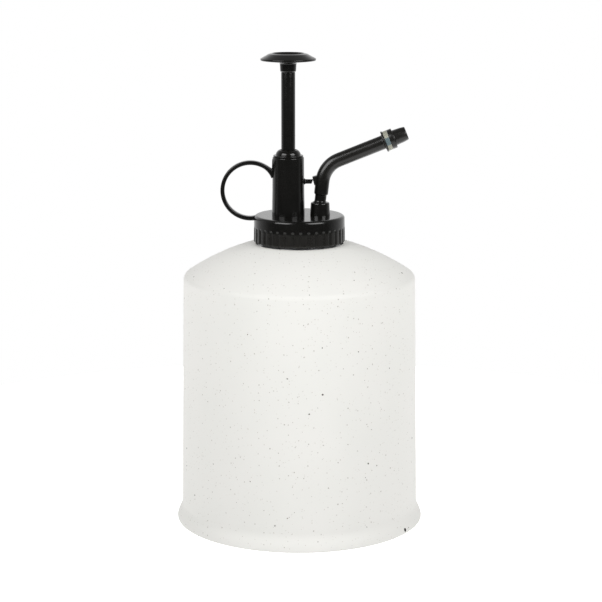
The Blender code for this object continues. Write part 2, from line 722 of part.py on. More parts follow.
def make_valve_body():
    """Inlet column, outlet column and the bridge between them, with their bores."""
    body = solid_rod("valve_body", CYLINDER_RADIUS, VALVE_BLOCK_Z, VALVE_TOP_Z, "natural_plastic",
                     x=TOWER_X)
    spigot = solid_rod("valve_spigot", VALVE_SPIGOT_RADIUS, VALVE_TOP_Z - OVERRUN, VALVE_SPIGOT_Z,
                       x=TOWER_X)
    dip_socket = solid_rod("dip_socket", VALVE_SOCKET_RADIUS, VALVE_BOTTOM_Z, VALVE_BLOCK_Z + OVERRUN,
                           x=TOWER_X)
    outlet = solid_rod("outlet_column", OUTLET_RADIUS, OUTLET_BOTTOM_Z, OUTLET_TOP_Z, x=SPOUT_X)
    bridge = block("bridge", (SPOUT_X - TOWER_X, BRIDGE_WIDTH, BRIDGE_HEIGHT),
                   ((SPOUT_X + TOWER_X) / 2, 0, GALLERY_Z))
    join(body, spigot, dip_socket, outlet, bridge)
    seat_top = INLET_SEAT_Z + INLET_SEAT_HEIGHT
    socket_top = DIP_TOP_Z + GAP
    inlet = turned("inlet_bore", [
        (0, VALVE_SPIGOT_Z + OVERRUN),
        (INLET_CHAMBER, VALVE_SPIGOT_Z + OVERRUN),
        (INLET_CHAMBER, seat_top),
        (INLET_THROAT, INLET_SEAT_Z),
        (INLET_THROAT, socket_top),
        (DIP_RADIUS + GAP, socket_top),
        (DIP_RADIUS + GAP, VALVE_BOTTOM_Z - OVERRUN),
        (0, VALVE_BOTTOM_Z - OVERRUN),
    ], steps=24, x=TOWER_X)
    outlet_seat_top = OUTLET_SEAT_Z + OUTLET_SEAT_HEIGHT
    outlet_bore = turned("outlet_bore", [
        (0, OUTLET_TOP_Z + OVERRUN),
        (RISER_RADIUS + GAP, OUTLET_TOP_Z + OVERRUN),
        (RISER_RADIUS + GAP, OUTLET_STOP_Z),
        (OUTLET_CHAMBER, OUTLET_STOP_Z),
        (OUTLET_CHAMBER, outlet_seat_top),
        (OUTLET_THROAT, OUTLET_SEAT_Z),
        (OUTLET_THROAT, GALLERY_Z),
        (0, GALLERY_Z),
    ], steps=STEPS_SMALL, x=SPOUT_X)
    gallery = solid_rod("gallery", GALLERY_RADIUS, 0, SPOUT_X - TOWER_X, steps=16,
                        location=(TOWER_X, 0, GALLERY_Z), rotation=(0, radians(90), 0))
    cut(body, inlet, outlet_bore, gallery)


def seated_height(seat_z, throat, chamber, seat_height, radius):
    """Height of a ball's centre, just clear of its conical seat."""
    slope = Vector((chamber - throat, seat_height)).normalized()
    return seat_z + (radius + BALL_CLEARANCE - throat * slope.y) / slope.x


def make_balls():
    inlet_z = seated_height(INLET_SEAT_Z, INLET_THROAT, INLET_CHAMBER, INLET_SEAT_HEIGHT, INLET_BALL)
    ball("inlet_ball", INLET_BALL, (TOWER_X, 0, inlet_z), "spring_steel")
    outlet_z = seated_height(OUTLET_SEAT_Z, OUTLET_THROAT, OUTLET_CHAMBER, OUTLET_SEAT_HEIGHT, OUTLET_BALL)
    ball("outlet_ball", OUTLET_BALL, (SPOUT_X, 0, outlet_z), "spring_steel")
    low = outlet_z + OUTLET_BALL + BALL_CLEARANCE + OUTLET_SPRING_WIRE
    high = OUTLET_STOP_Z - BALL_CLEARANCE - OUTLET_SPRING_WIRE
    points = coil(OUTLET_SPRING_RADIUS, low, high, OUTLET_SPRING_TURNS)
    swept("outlet_spring", points, OUTLET_SPRING_WIRE, "spring_steel", 1, (SPOUT_X, 0, 0))


def make_dip_tube():
    """A straight tube whose lower end is cut at a slant, so that it can't seal on the base."""
    dip = tube("dip_tube", DIP_RADIUS, DIP_BORE, DIP_BOTTOM_Z, DIP_TOP_Z, "natural_plastic", 24, TOWER_X)
    size = 4 * DIP_RADIUS
    low = Vector((TOWER_X - DIP_RADIUS, 0, DIP_BOTTOM_Z))
    centre = low + Vector((sin(DIP_SLANT), 0, -cos(DIP_SLANT))) * size / 2
    cut(dip, block("slant", (size * 3, size, size), centre, rotation=(0, -DIP_SLANT, 0)))


def make_riser_tube():
    tube("riser_tube", RISER_RADIUS, RISER_BORE, OUTLET_STOP_Z + GAP, RISER_TOP_Z, "natural_plastic",
         STEPS_SMALL, SPOUT_X)


# Spout and nozzle

def make_spout_socket():
    foot = DECK_Z + GAP
    points = [
        (SOCKET_TOP_RADIUS, SOCKET_TOP_Z, SOCKET_EDGE),
        (SOCKET_FOOT_RADIUS, foot),
        (SOCKET_BORE, foot),
        (SOCKET_BORE, SOCKET_TOP_Z),
    ]
    turned("spout_socket", rounded(points), "black_plastic", x=SPOUT_X, closed=True)


def make_spout_seal():
    low = RISER_TOP_Z + GAP
    high = SPOUT_FOOT_Z - GAP
    tube("spout_seal", SOCKET_BORE - GAP / 2, RISER_BORE + GAP, low, high, "rubber", STEPS_SMALL,
         SPOUT_X)


def spout_axis():
    """Direction in which the spout's straight part points."""
    return Vector((cos(SPOUT_SLOPE), 0, sin(SPOUT_SLOPE)))


def spout_route():
    """The spout's centreline: its leg, its elbow as an arc, and its front flange's middle."""
    down = (Vector((SPOUT_X, 0, SOCKET_TOP_Z)) - ELBOW).normalized()
    foot = ELBOW + down * ((SPOUT_STEP_Z - ELBOW.z) / down.z)
    ahead = spout_axis()
    half = down.angle(ahead) / 2
    centre = ELBOW + (down + ahead).normalized() * (ELBOW_RADIUS / sin(half))
    start = ELBOW + down * (ELBOW_RADIUS / tan(half)) - centre
    bend = []
    segments = 8
    for i in range(segments + 1):
        turn = Matrix.Rotation((pi - 2 * half) * i / segments, 3, "Y")
        bend.append(centre + turn @ start)
    return [foot] + bend + [ELBOW + ahead * SPOUT_REACH]


def along_spout():
    """Places a turned shape along the spout's axis, from the front flange's middle."""
    return {"location": ELBOW + spout_axis() * SPOUT_REACH, "rotation": (0, pi / 2 - SPOUT_SLOPE, 0)}


def make_spout_tube():
    route = spout_route()
    spout = as_mesh(swept("spout_tube", route, SPOUT_RADIUS, None, 6), "black_plastic")
    foot, lean = Vector((SPOUT_X, 0, SPOUT_FOOT_Z)), Vector((SPOUT_X, 0, SOCKET_TOP_Z))
    step = route[0] + (route[0] - lean).normalized() * OVERRUN
    spigot = as_mesh(swept("spout_spigot", [foot, lean, step], SPOUT_SPIGOT, None, 6))
    front = turned("spout_front", [
        (0, TIP_TUBE_END),
        (TIP_TUBE_RADIUS, TIP_TUBE_END),
        (TIP_TUBE_RADIUS, FLANGE_HALF),
        (FLANGE_RADIUS, FLANGE_HALF),
        (FLANGE_RADIUS, -FLANGE_HALF),
        (0, -FLANGE_HALF),
    ], **along_spout())
    lug = block("spout_lug", (LUG_LENGTH, LUG_WIDTH, LUG_HEIGHT),
                (LUG_FACE_X + (LUG_LENGTH + EDGE) / 2, 0, LUG_TOP_Z - LUG_HEIGHT / 2),
                rotation=(0, LUG_TILT, 0))
    join(spout, spigot, front, lug)
    below = Vector((SPOUT_X, 0, SPOUT_FOOT_Z - OVERRUN))
    beyond = route[-1] + spout_axis() * (TIP_TUBE_END + OVERRUN)
    bore = as_mesh(swept("spout_bore", [below, lean] + route + [beyond], SPOUT_BORE, None, 3))
    cut(spout, bore)


def make_nozzle_washer():
    bore = TIP_TUBE_RADIUS + GAP
    tube("nozzle_washer", WASHER_RADIUS, bore, WASHER_START, WASHER_END, "pale_washer", **along_spout())


def make_nozzle_cap():
    chamber_start = SWIRL_START - GAP / 2
    chamber_end = SWIRL_END + GAP
    points = [
        (NOZZLE_TIP_RADIUS, NOZZLE_END, EDGE),
        (NOZZLE_BASE_RADIUS, NOZZLE_FLANGE_END),
        (NOZZLE_FLANGE_RADIUS, NOZZLE_FLANGE_END),
        (NOZZLE_FLANGE_RADIUS, NOZZLE_START),
        (NOZZLE_BORE, NOZZLE_START),
        (NOZZLE_BORE, chamber_start),
        (SWIRL_CHAMBER, chamber_start),
        (SWIRL_CHAMBER, chamber_end),
        (ORIFICE, chamber_end),
        (ORIFICE, NOZZLE_END - FINE_EDGE),
        (ORIFICE * 2.5, NOZZLE_END),
    ]
    turned("nozzle_cap", rounded(points), "black_plastic", closed=True, **along_spout())


def make_swirl_core():
    """A short pin with two slots across its front, which spin the water before the orifice."""
    place = along_spout()
    core = solid_rod("swirl_core", SWIRL_RADIUS, SWIRL_START, SWIRL_END, "natural_plastic", 16, **place)
    front = place["location"] + spout_axis() * SWIRL_END
    size = (SWIRL_SLOT_WIDTH, 2 * SWIRL_SLOT_DEPTH, 3 * (SWIRL_END - SWIRL_START))
    for side, name in ((-1, "swirl_slot_front"), (1, "swirl_slot_back")):
        offset = Vector((0, side * SWIRL_RADIUS, 0))
        cut(core, block(name, size, front + offset, rotation=place["rotation"]))


def shade_smooth():
    """Smooth shading with sharp edges kept, for the pieces that hold a mesh."""
    for item in PARTS.objects:
        if item.type == "MESH" and item.data.polygons:
            item.data.shade_smooth()
            item.data.set_sharp_from_angle(angle=radians(30))


clear_scene()
PARTS = collection("hand_mister")
CUTTERS = collection("cutters")

make_bottle_shell()
make_bottle_base()
make_threaded_neck()
make_neck_gasket()
make_screw_cap()
make_pump_tower()
make_finger_ring()
make_pump_cylinder()
make_rod_seal()
make_gland_cap()
make_plunger_rod()
make_plunger_knob()
make_piston()
make_piston_seal()
make_return_spring()
make_valve_body()
make_balls()
make_dip_tube()
make_riser_tube()
make_spout_socket()
make_spout_seal()
make_spout_tube()
make_nozzle_washer()
make_nozzle_cap()
make_swirl_core()
shade_smooth()
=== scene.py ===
"""Looks of the hand mister: speckled enamel bottle, black moulded pump head, pale nozzle washer.

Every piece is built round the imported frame, in metres. The bottle stands on z = 0 on its own
axis, the finger ring points to -X and the spout to +X. Outlines are (radius, height) points that
run down a piece's outer side; a third value is the radius of that corner's rounding.
"""

import json
from math import asin, atan2, cos, pi, radians, sin, sqrt, tan

import bmesh
import bpy
from mathutils import Matrix, Vector


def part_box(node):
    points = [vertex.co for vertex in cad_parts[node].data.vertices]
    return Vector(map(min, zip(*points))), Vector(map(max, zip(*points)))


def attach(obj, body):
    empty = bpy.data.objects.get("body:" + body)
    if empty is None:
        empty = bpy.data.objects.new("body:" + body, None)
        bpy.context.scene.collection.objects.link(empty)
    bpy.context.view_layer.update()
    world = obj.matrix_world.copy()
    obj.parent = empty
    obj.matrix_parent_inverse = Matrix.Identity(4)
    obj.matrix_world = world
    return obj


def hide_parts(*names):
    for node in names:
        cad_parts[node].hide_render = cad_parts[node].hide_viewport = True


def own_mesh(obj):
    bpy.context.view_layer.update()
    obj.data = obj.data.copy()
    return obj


MM = 0.001
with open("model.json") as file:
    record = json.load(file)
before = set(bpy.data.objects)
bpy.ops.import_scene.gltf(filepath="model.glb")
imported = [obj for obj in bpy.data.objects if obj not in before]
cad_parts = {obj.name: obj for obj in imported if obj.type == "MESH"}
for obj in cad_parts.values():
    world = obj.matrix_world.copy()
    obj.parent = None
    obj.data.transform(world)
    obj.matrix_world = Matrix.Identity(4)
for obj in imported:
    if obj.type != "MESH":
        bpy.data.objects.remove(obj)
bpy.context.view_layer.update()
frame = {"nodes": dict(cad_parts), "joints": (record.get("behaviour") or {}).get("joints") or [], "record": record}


# Places and sizes that the frame gives

def low(node):
    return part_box(node)[0]


def high(node):
    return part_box(node)[1]


def half_width(node):
    """Half of a node's extent in Y, which is the radius of a piece turned about an upright axis."""
    return (high(node).y - low(node).y) / 2


def middle_x(node):
    return (high(node).x + low(node).x) / 2


GAP = 0.3 * MM                          # clearance between the CAD solids
SINK = 0.05 * MM                        # how far a piece on the deck reaches into it
TOWER_X = middle_x("plunger_rod")
SPOUT_X = middle_x("spout_socket")
DECK_Z = high("screw_cap").z
SEAT_Z = high("bottle_shell").z
TOWER_TOP_Z = high("pump_tower").z
NOZZLE = next(joint for joint in frame["joints"] if joint["name"] == "nozzle_turn")
FLANGE_MIDDLE = Vector(NOZZLE["pos_m"])  # of the spout's front flange
SPOUT_AXIS = Vector(NOZZLE["axis"]).normalized()
Y_AXIS = Vector((0, 1, 0))

# Bottle
FOOT_RADIUS = half_width("bottle_shell")
BODY_LOW_RADIUS = FOOT_RADIUS - 2.2 * MM
BODY_TOP_RADIUS = FOOT_RADIUS - 3.85 * MM
FLARE_HEIGHT = 7.6 * MM
SHOULDER_Z = SEAT_Z - 13.85 * MM
SHOULDER_FILLET = 3.0 * MM
SHOULDER_ARC = 102.0 * MM
SEAT_RADIUS = 20.1 * MM
WALL = 0.8 * MM
HEM_RADIUS = FOOT_RADIUS - 1.6 * MM
HEM_HEIGHT = 3.1 * MM
BASE_RAISE = 1.2 * MM                   # of the pressed base's middle
BASE_MIDDLE_RADIUS = 30.0 * MM          # where the raised middle ends
BASE_STEP_RADIUS = 34.0 * MM            # where its slope meets the flat
CHIP_AZIMUTH = radians(58)              # from the front towards the spout
CHIP_REACH = FOOT_RADIUS - 0.3 * MM
CHIP = (CHIP_REACH * sin(CHIP_AZIMUTH), -CHIP_REACH * cos(CHIP_AZIMUTH), 1.8 * MM)
CHIP_RADIUS = 0.85 * MM
CHIP_CRISPNESS = 9000                   # of its edge, per metre

# Neck and threads
NECK_BORE = 13.2 * MM
NECK_ROOT = 14.9 * MM
NECK_CREST = 15.8 * MM
NECK_THREAD_Z = 122.9 * MM
CAP_THREAD_Z = 123.2 * MM
CAP_THREAD_CREST = 16.1 * MM
THREAD_PITCH = 2.6 * MM
THREAD_TURNS = 1.5
GASKET_BORE = 12.9 * MM

# Cap
RIB_RADIUS = half_width("screw_cap")
BAND_RADIUS = RIB_RADIUS - 0.18 * MM
FLUTE_DEPTH = 0.5 * MM
CAP_BOTTOM_Z = low("screw_cap").z
RIB_TOP_Z = CAP_BOTTOM_Z + 6.3 * MM
CAP_BORE = RIB_RADIUS - 2.3 * MM
DECK_THICKNESS = 1.6 * MM
RIB_COUNT = 36
RIB_TURN = radians(-3.2)                # a rib's middle, past the front
FLUTE_HALF = 0.27                       # half of a flute's width, in rib pitches
FLUTE_SLOPE = 0.25                      # from rib to flute, in rib pitches
FLUTE_RUN_OUT = 0.6 * MM                # above RIB_TOP_Z, and as far below it

# Tower, gland and rod
TOWER_FOOT_RADIUS = half_width("pump_tower")
TOWER_RADIUS = TOWER_FOOT_RADIUS - 0.2 * MM
TOWER_TOP_RADIUS = TOWER_RADIUS - 0.12 * MM
TOWER_BORE = 5.5 * MM
ROD_RADIUS = half_width("plunger_rod")
PEG_Z = 146.2 * MM
PEG_RADIUS = 0.96 * MM
PEG_ROOT = 0.65 * MM                    # how much wider the peg is at the tower

# Finger ring
RING_RADIUS = (high("finger_ring").z - low("finger_ring").z) / 2
RING_CENTRE = Vector((low("finger_ring").x + RING_RADIUS, 0, low("finger_ring").z + RING_RADIUS))
RING_WIDTH = 2 * half_width("finger_ring")
RING_THICKNESS = 1.8 * MM
BAND_SIDES = 32                         # corners of the ring's section
BAND_SQUARENESS = 0.42                  # 1 is an ellipse, 0 a plain rectangle

# Spout
SPOUT_RADIUS = 2.98 * MM
SPIGOT_RADIUS = 2.45 * MM
SPOUT_STEP_Z = 141.0 * MM
ELBOW = Vector((10.45, 0, 152.9)) * MM
ELBOW_RADIUS = 11.0 * MM
SPOUT_TIP_LENGTH = 5.6 * MM             # of the spout in front of its flange's middle
LUG_TOP_Z = 148.65 * MM

# Fineness
TURNED_STEPS = 96                       # corners of a turned piece's rings
FINE_STEPS = 64                         # the same on narrow pieces
HOLE_STEPS = 48
SHARP = 35                              # degrees between faces, from where an edge is sharp
CLOSE_ENDS = 0.35                       # how much closer a spring's end turns are
RIDGE_HALF = 0.36                       # half of a thread ridge's root, in pitches
RIDGE_SLOPE = 0.2                       # from root to crest, in pitches
THREAD_FADE = 0.08                      # turns over which a thread runs out


def eased(share):
    """A 0 to 1 value with a soft start and a soft end."""
    return share * share * (3 - 2 * share)


def clamped(value, lowest=0.0, highest=1.0):
    return min(highest, max(lowest, value))


# Outlines

def arc(start, end, radius, segments):
    """Points on the short arc between two outline points, which bulges left of start to end."""
    start, end = Vector(start), Vector(end)
    chord = end - start
    rise = sqrt(radius ** 2 - (chord.length / 2) ** 2)
    centre = (start + end) / 2 - Vector((-chord.y, chord.x)).normalized() * rise
    sweep = 2 * asin(chord.length / 2 / radius)
    turns = [Matrix.Rotation(-sweep * i / segments, 2) for i in range(segments + 1)]
    return [tuple(centre + turn @ (start - centre)) for turn in turns]


def rounded(points, segments=6):
    """The outline with its rounded corners worked out as arcs."""
    outline = []
    for i, point in enumerate(points):
        corner = Vector(point[:2])
        if len(point) == 2:
            outline.append(tuple(corner))
            continue
        back = (Vector(points[i - 1][:2]) - corner).normalized()
        ahead = (Vector(points[(i + 1) % len(points)][:2]) - corner).normalized()
        half = back.angle(ahead) / 2
        centre = corner + (back + ahead).normalized() * (point[2] / sin(half))
        start = corner + back * (point[2] / tan(half)) - centre
        turn = (pi - 2 * half) * (1 if back.x * ahead.y - back.y * ahead.x < 0 else -1)
        for k in range(segments + 1):
            outline.append(tuple(centre + Matrix.Rotation(turn * k / segments, 2) @ start))
    return outline


def ring_outline(outer, bore, bottom, top, corner, bore_corner=None):
    """A flat ring or short tube with rounded edges."""
    bore_corner = bore_corner or corner
    return [(outer, top, corner), (outer, bottom, corner),
            (bore, bottom, bore_corner), (bore, top, bore_corner)]


def refined(points, step, start=None, end=None):
    """The outline with points added wherever two are further apart than step in height.

    With a start and an end, only between those heights.
    """
    result = [points[0]]
    for (r0, z0), (r1, z1) in zip(points, points[1:]):
        inside = start is None or min(start, end) <= (z0 + z1) / 2 <= max(start, end)
        count = max(1, round(abs(z1 - z0) / step)) if inside else 1
        for i in range(1, count + 1):
            result.append((r0 + (r1 - r0) * i / count, z0 + (z1 - z0) * i / count))
    return result


# Meshes

def piece(name, shape, sharp=SHARP):
    """A bmesh as an object, shaded smooth but for its sharp edges."""
    bmesh.ops.recalc_face_normals(shape, faces=shape.faces)
    mesh = bpy.data.meshes.new(name)
    shape.to_mesh(mesh)
    shape.free()
    mesh.shade_smooth()
    mesh.set_sharp_from_angle(angle=radians(sharp))
    item = bpy.data.objects.new(name, mesh)
    bpy.context.scene.collection.objects.link(item)
    return item


def upright(x=0.0):
    """Where a height lies on an upright axis, and the two directions across it."""
    return lambda s: (Vector((x, 0, s)), Vector((1, 0, 0)), Y_AXIS)


def straight(origin, direction):
    """The same for any straight axis in the XZ plane, with distances from its origin."""
    across = Y_AXIS.cross(direction).normalized()
    return lambda s: (origin + direction * s, across, Y_AXIS)


def turned(name, outline, place=None, steps=TURNED_STEPS, closed=False, relief=None,
           sharp=SHARP):
    """A piece turned about the axis that place(s) follows.

    relief(angle, r, s) gives a point's own radius, for flutes and threads. A closed outline runs
    on from its last point to its first, as round a bore.
    """
    place = place or upright()
    shape = bmesh.new()
    rings = []
    for r, s in outline:
        origin, across, beside = place(s)
        if r < 1e-7:
            rings.append([shape.verts.new(origin)] * steps)
            continue
        ring = []
        for k in range(steps):
            angle = 2 * pi * k / steps
            radius = relief(angle, r, s) if relief else r
            outward = cos(angle) * across + sin(angle) * beside
            ring.append(shape.verts.new(origin + radius * outward))
        rings.append(ring)
    pairs = list(zip(rings, rings[1:]))
    if closed:
        pairs.append((rings[-1], rings[0]))
    for upper, lower in pairs:
        for k in range(steps):
            n = (k + 1) % steps
            corners = list(dict.fromkeys((upper[k], lower[k], lower[n], upper[n])))
            if len(corners) > 2:
                shape.faces.new(corners)
    return piece(name, shape, sharp)


def lofted(name, sections):
    """A bar through closed sections of equal counts, with flat ends."""
    shape = bmesh.new()
    rings = [[shape.verts.new(point) for point in section] for section in sections]
    count = len(rings[0])
    for ring, after in zip(rings, rings[1:]):
        for k in range(count):
            n = (k + 1) % count
            shape.faces.new((ring[k], ring[n], after[n], after[k]))
    shape.faces.new(rings[0])
    shape.faces.new(reversed(rings[-1]))
    return piece(name, shape)


def soft_block(name, size, location, turn=0.0, radius=0.3 * MM):
    """A box with rounded edges, turned about the Y direction."""
    shape = bmesh.new()
    bmesh.ops.create_cube(shape, size=1.0)
    bmesh.ops.scale(shape, vec=size, verts=shape.verts)
    bmesh.ops.bevel(shape, geom=shape.edges[:], offset=radius, segments=4, affect="EDGES",
                    profile=0.5)
    matrix = Matrix.Translation(location) @ Matrix.Rotation(turn, 4, "Y")
    bmesh.ops.transform(shape, matrix=matrix, verts=shape.verts)
    return piece(name, shape)


def combined(item, operation, *others, sharp=SHARP):
    """Applies boolean unions or cuts to a piece and removes the others."""
    for other in others:
        modifier = item.modifiers.new("combine", "BOOLEAN")
        modifier.operation = operation
        modifier.solver = "EXACT"
        modifier.object = other
    graph = bpy.context.evaluated_depsgraph_get()
    mesh = bpy.data.meshes.new_from_object(item.evaluated_get(graph))
    item.modifiers.clear()
    item.data = mesh
    mesh.shade_smooth()
    mesh.set_sharp_from_angle(angle=radians(sharp))
    for other in others:
        bpy.data.objects.remove(other, do_unlink=True)
    return item


def cut(item, *others, sharp=SHARP):
    return combined(item, "DIFFERENCE", *others, sharp=sharp)


def joined(item, *others):
    return combined(item, "UNION", *others)


def wound(name, x, radius, wire, bottom, top, turns, per_turn=36, sides=12):
    """A compression spring whose first and last turns lie close, as ground ends do."""
    count = turns * per_turn
    sections = []
    for i in range(count + 1):
        share = i / count
        lift = eased(share) * CLOSE_ENDS + share * (1 - CLOSE_ENDS)
        angle = 2 * pi * i / per_turn
        outward = Vector((cos(angle), sin(angle), 0))
        height = bottom + wire + (top - bottom - 2 * wire) * lift
        centre = Vector((x, 0, height)) + outward * radius
        section = []
        for k in range(sides):
            a = 2 * pi * k / sides
            section.append(centre + wire * (cos(a) * outward + sin(a) * Vector((0, 0, 1))))
        sections.append(section)
    return lofted(name, sections)


def thread(wall, crest, start_z):
    """Relief that raises a helical ridge on one wall, running out at both ends."""
    def relief(angle, r, z):
        best = 0.0
        for turn in range(int(THREAD_TURNS) + 2):
            along = turn + angle / (2 * pi)
            if not 0 <= along <= THREAD_TURNS:
                continue
            off = abs(z - (start_z + THREAD_PITCH * along)) / THREAD_PITCH
            ridge = clamped((RIDGE_HALF - off) / RIDGE_SLOPE)
            fade = min(1.0, along / THREAD_FADE, (THREAD_TURNS - along) / THREAD_FADE)
            best = max(best, eased(ridge) * fade)
        return r + (crest - wall) * best if abs(r - wall) < 0.02 * MM else r
    return relief


# Materials

class Look:
    """A Principled material, with short ways to add the nodes that vary it over the surface."""

    def __init__(self, name, colour, roughness, metallic=0.0, **sockets):
        self.material = bpy.data.materials.new(name)
        self.material.use_nodes = True
        self.tree = self.material.node_tree
        self.shader = self.tree.nodes["Principled BSDF"]
        self.shader.inputs["Base Color"].default_value = (*colour, 1.0)
        self.shader.inputs["Roughness"].default_value = roughness
        self.shader.inputs["Metallic"].default_value = metallic
        for socket, value in sockets.items():
            self.shader.inputs[socket.replace("_", " ")].default_value = value
        self.place = self.add("ShaderNodeTexCoord").outputs["Object"]

    def add(self, kind, inputs=None, **settings):
        node = self.tree.nodes.new(kind)
        for key, value in settings.items():
            setattr(node, key, value)
        for key, value in (inputs or {}).items():
            if isinstance(value, bpy.types.NodeSocket):
                self.tree.links.new(value, node.inputs[key])
            else:
                node.inputs[key].default_value = value
        return node

    def link(self, output, socket):
        self.tree.links.new(output, self.shader.inputs[socket])

    def maths(self, operation, a, b=0.0, clamp=False):
        node = self.add("ShaderNodeMath", {0: a, 1: b}, operation=operation, use_clamp=clamp)
        return node.outputs[0]

    def mix(self, factor, a, b):
        """Colour a where the factor is 0, and b where it is 1."""
        node = self.add("ShaderNodeMix", data_type="RGBA")
        for index, value in ((0, factor), (6, a), (7, b)):
            if isinstance(value, bpy.types.NodeSocket):
                self.tree.links.new(value, node.inputs[index])
            elif index:
                node.inputs[index].default_value = (*value, 1.0)
            else:
                node.inputs[index].default_value = value
        return node.outputs[2]

    def noise(self, size, detail=2.0, vector=None):
        """Noise with features of about the given size, from 0 to 1."""
        inputs = {"Vector": vector or self.place, "Scale": 1 / size, "Detail": detail}
        return self.add("ShaderNodeTexNoise", inputs).outputs["Fac"]

    def ramp(self, value, from_min, from_max, to_min=0.0, to_max=1.0, smooth=False):
        """A value taken from one range to another, and held at its ends."""
        inputs = {"Value": value, "From Min": from_min, "From Max": from_max,
                  "To Min": to_min, "To Max": to_max}
        shape = "SMOOTHSTEP" if smooth else "LINEAR"
        return self.add("ShaderNodeMapRange", inputs, interpolation_type=shape).outputs[0]

    def spread(self, value, lowest=0.0, highest=1.0):
        """Noise stretched over a range, taking its usual 0.3 to 0.7 as its ends."""
        return self.ramp(value, 0.3, 0.7, lowest, highest)

    def bump(self, height, depth, normal=None):
        inputs = {"Height": height, "Distance": depth, "Strength": 1.0}
        if normal:
            inputs["Normal"] = normal
        return self.add("ShaderNodeBump", inputs).outputs["Normal"]

    def vectors(self, operation, inputs, output=0):
        node = self.add("ShaderNodeVectorMath", inputs, operation=operation)
        return node.outputs[output]

    def specks(self, cell, radius, share):
        """A mask of scattered ragged specks up to the given radius, in a share of the cells."""
        wobble = self.add("ShaderNodeTexNoise", {"Vector": self.place, "Scale": 1 / (1.2 * radius)})
        shift = self.vectors("SUBTRACT", {0: wobble.outputs["Color"], 1: (0.5, 0.5, 0.5)})
        scaled = self.vectors("SCALE", {0: shift, "Scale": 1.3 * radius})
        moved = self.vectors("ADD", {0: self.place, 1: scaled})
        cells = self.add("ShaderNodeTexVoronoi", {"Vector": moved, "Scale": 1 / cell})
        chance = self.add("ShaderNodeSeparateColor", {0: cells.outputs["Color"]}).outputs[0]
        size = self.ramp(chance, 1 - share, 1.0, 0.35 * radius / cell, radius / cell)
        chosen = self.maths("GREATER_THAN", chance, 1 - share)
        inside = self.maths("SUBTRACT", size, cells.outputs["Distance"])
        soft = self.maths("MULTIPLY", inside, 5 * cell / radius, clamp=True)
        return self.maths("MULTIPLY", soft, chosen)


def enamel():
    """Off-white enamel: dark, fine and faint specks, a chip at the foot, and uneven fired glaze."""
    look = Look("speckled_enamel", (0.88, 0.873, 0.84), 0.5, Specular_IOR_Level=0.14)
    cloud = look.spread(look.noise(28 * MM))
    ground = look.mix(cloud, (0.868, 0.866, 0.830), (0.890, 0.882, 0.848))
    dark = look.specks(4.8 * MM, 0.42 * MM, 0.6)
    fine = look.specks(2.0 * MM, 0.32 * MM, 0.85)
    faint = look.specks(1.3 * MM, 0.25 * MM, 0.8)
    tone = look.spread(look.noise(3 * MM))
    colour = look.mix(look.maths("MULTIPLY", faint, 0.42), ground, (0.42, 0.37, 0.30))
    colour = look.mix(look.maths("MULTIPLY", fine, 0.5), colour, (0.20, 0.16, 0.12))
    colour = look.mix(dark, colour, look.mix(tone, (0.045, 0.035, 0.028), (0.13, 0.09, 0.06)))
    offset = look.vectors("DISTANCE", {0: look.place, 1: CHIP}, 1)
    ragged = look.maths("MULTIPLY", look.maths("SUBTRACT", look.noise(0.5 * MM), 0.5), 0.9 * MM)
    inside = look.maths("SUBTRACT", CHIP_RADIUS, look.maths("ADD", offset, ragged))
    chip = look.maths("MULTIPLY", inside, CHIP_CRISPNESS, clamp=True)
    colour = look.mix(chip, colour, (0.018, 0.016, 0.014))
    look.link(colour, "Base Color")
    glaze = look.spread(look.noise(6 * MM), 0.44, 0.54)
    look.link(look.maths("ADD", glaze, look.maths("MULTIPLY", chip, 0.4)), "Roughness")
    ripple = look.bump(look.noise(2.4 * MM, 3), 0.012 * MM)
    pits = look.bump(look.maths("MULTIPLY", dark, -1.0), 0.02 * MM, ripple)
    look.link(look.bump(look.maths("MULTIPLY", chip, -1.0), 0.12 * MM, pits), "Normal")
    return look.material


def black_plastic():
    """Glossy moulded black plastic, rougher on the cap's grip and from the spout's bend on, where a lighter colour
    is painted in as sheen.
    """
    look = Look("moulded_black", (0.0055, 0.0054, 0.005), 0.16)
    tint = look.spread(look.noise(5 * MM))
    colour = look.mix(tint, (0.0046, 0.0045, 0.0039), (0.0066, 0.0064, 0.0058))
    where = look.add("ShaderNodeSeparateXYZ", {0: look.place}).outputs
    grip = look.ramp(where["Z"], RIB_TOP_Z - 0.2 * MM, RIB_TOP_Z - 1.0 * MM, smooth=True)
    beside = look.maths("GREATER_THAN", where["X"], low("spout_tube").x - 0.1 * MM)
    spout = look.ramp(where["Z"], SPOUT_STEP_Z + 1 * MM, ELBOW.z, to_max=0.75)
    # the grip and the spout get a rougher real finish and a lighter colour; the lighter colour is painted sheen
    dull_and_painted_sheen = look.maths("MAXIMUM", grip, look.maths("MULTIPLY", beside, spout))
    # painted sheen: lighter black where the finish is rougher
    look.link(look.mix(dull_and_painted_sheen, colour, (0.0125, 0.012, 0.0105)), "Base Color")
    gloss = look.spread(look.noise(1.6 * MM, 4), 0.12, 0.2)
    look.link(look.maths("ADD", gloss, look.maths("MULTIPLY", dull_and_painted_sheen, 0.14)), "Roughness")
    skin = look.bump(look.noise(0.22 * MM, 2), 0.0004 * MM)
    look.link(look.bump(look.noise(4.5 * MM), 0.012 * MM, skin), "Normal")
    return look.material


def natural_plastic():
    """Milky unpigmented plastic, slightly see-through at its edges."""
    look = Look("milky_plastic", (0.80, 0.82, 0.82), 0.38, Subsurface_Weight=0.25,
                Subsurface_Scale=0.8 * MM)
    cloud = look.spread(look.noise(7 * MM))
    look.link(look.mix(cloud, (0.76, 0.79, 0.79), (0.83, 0.85, 0.84)), "Base Color")
    look.link(look.spread(look.noise(1.2 * MM), 0.32, 0.44), "Roughness")
    look.link(look.bump(look.noise(0.5 * MM, 3), 0.004 * MM), "Normal")
    return look.material


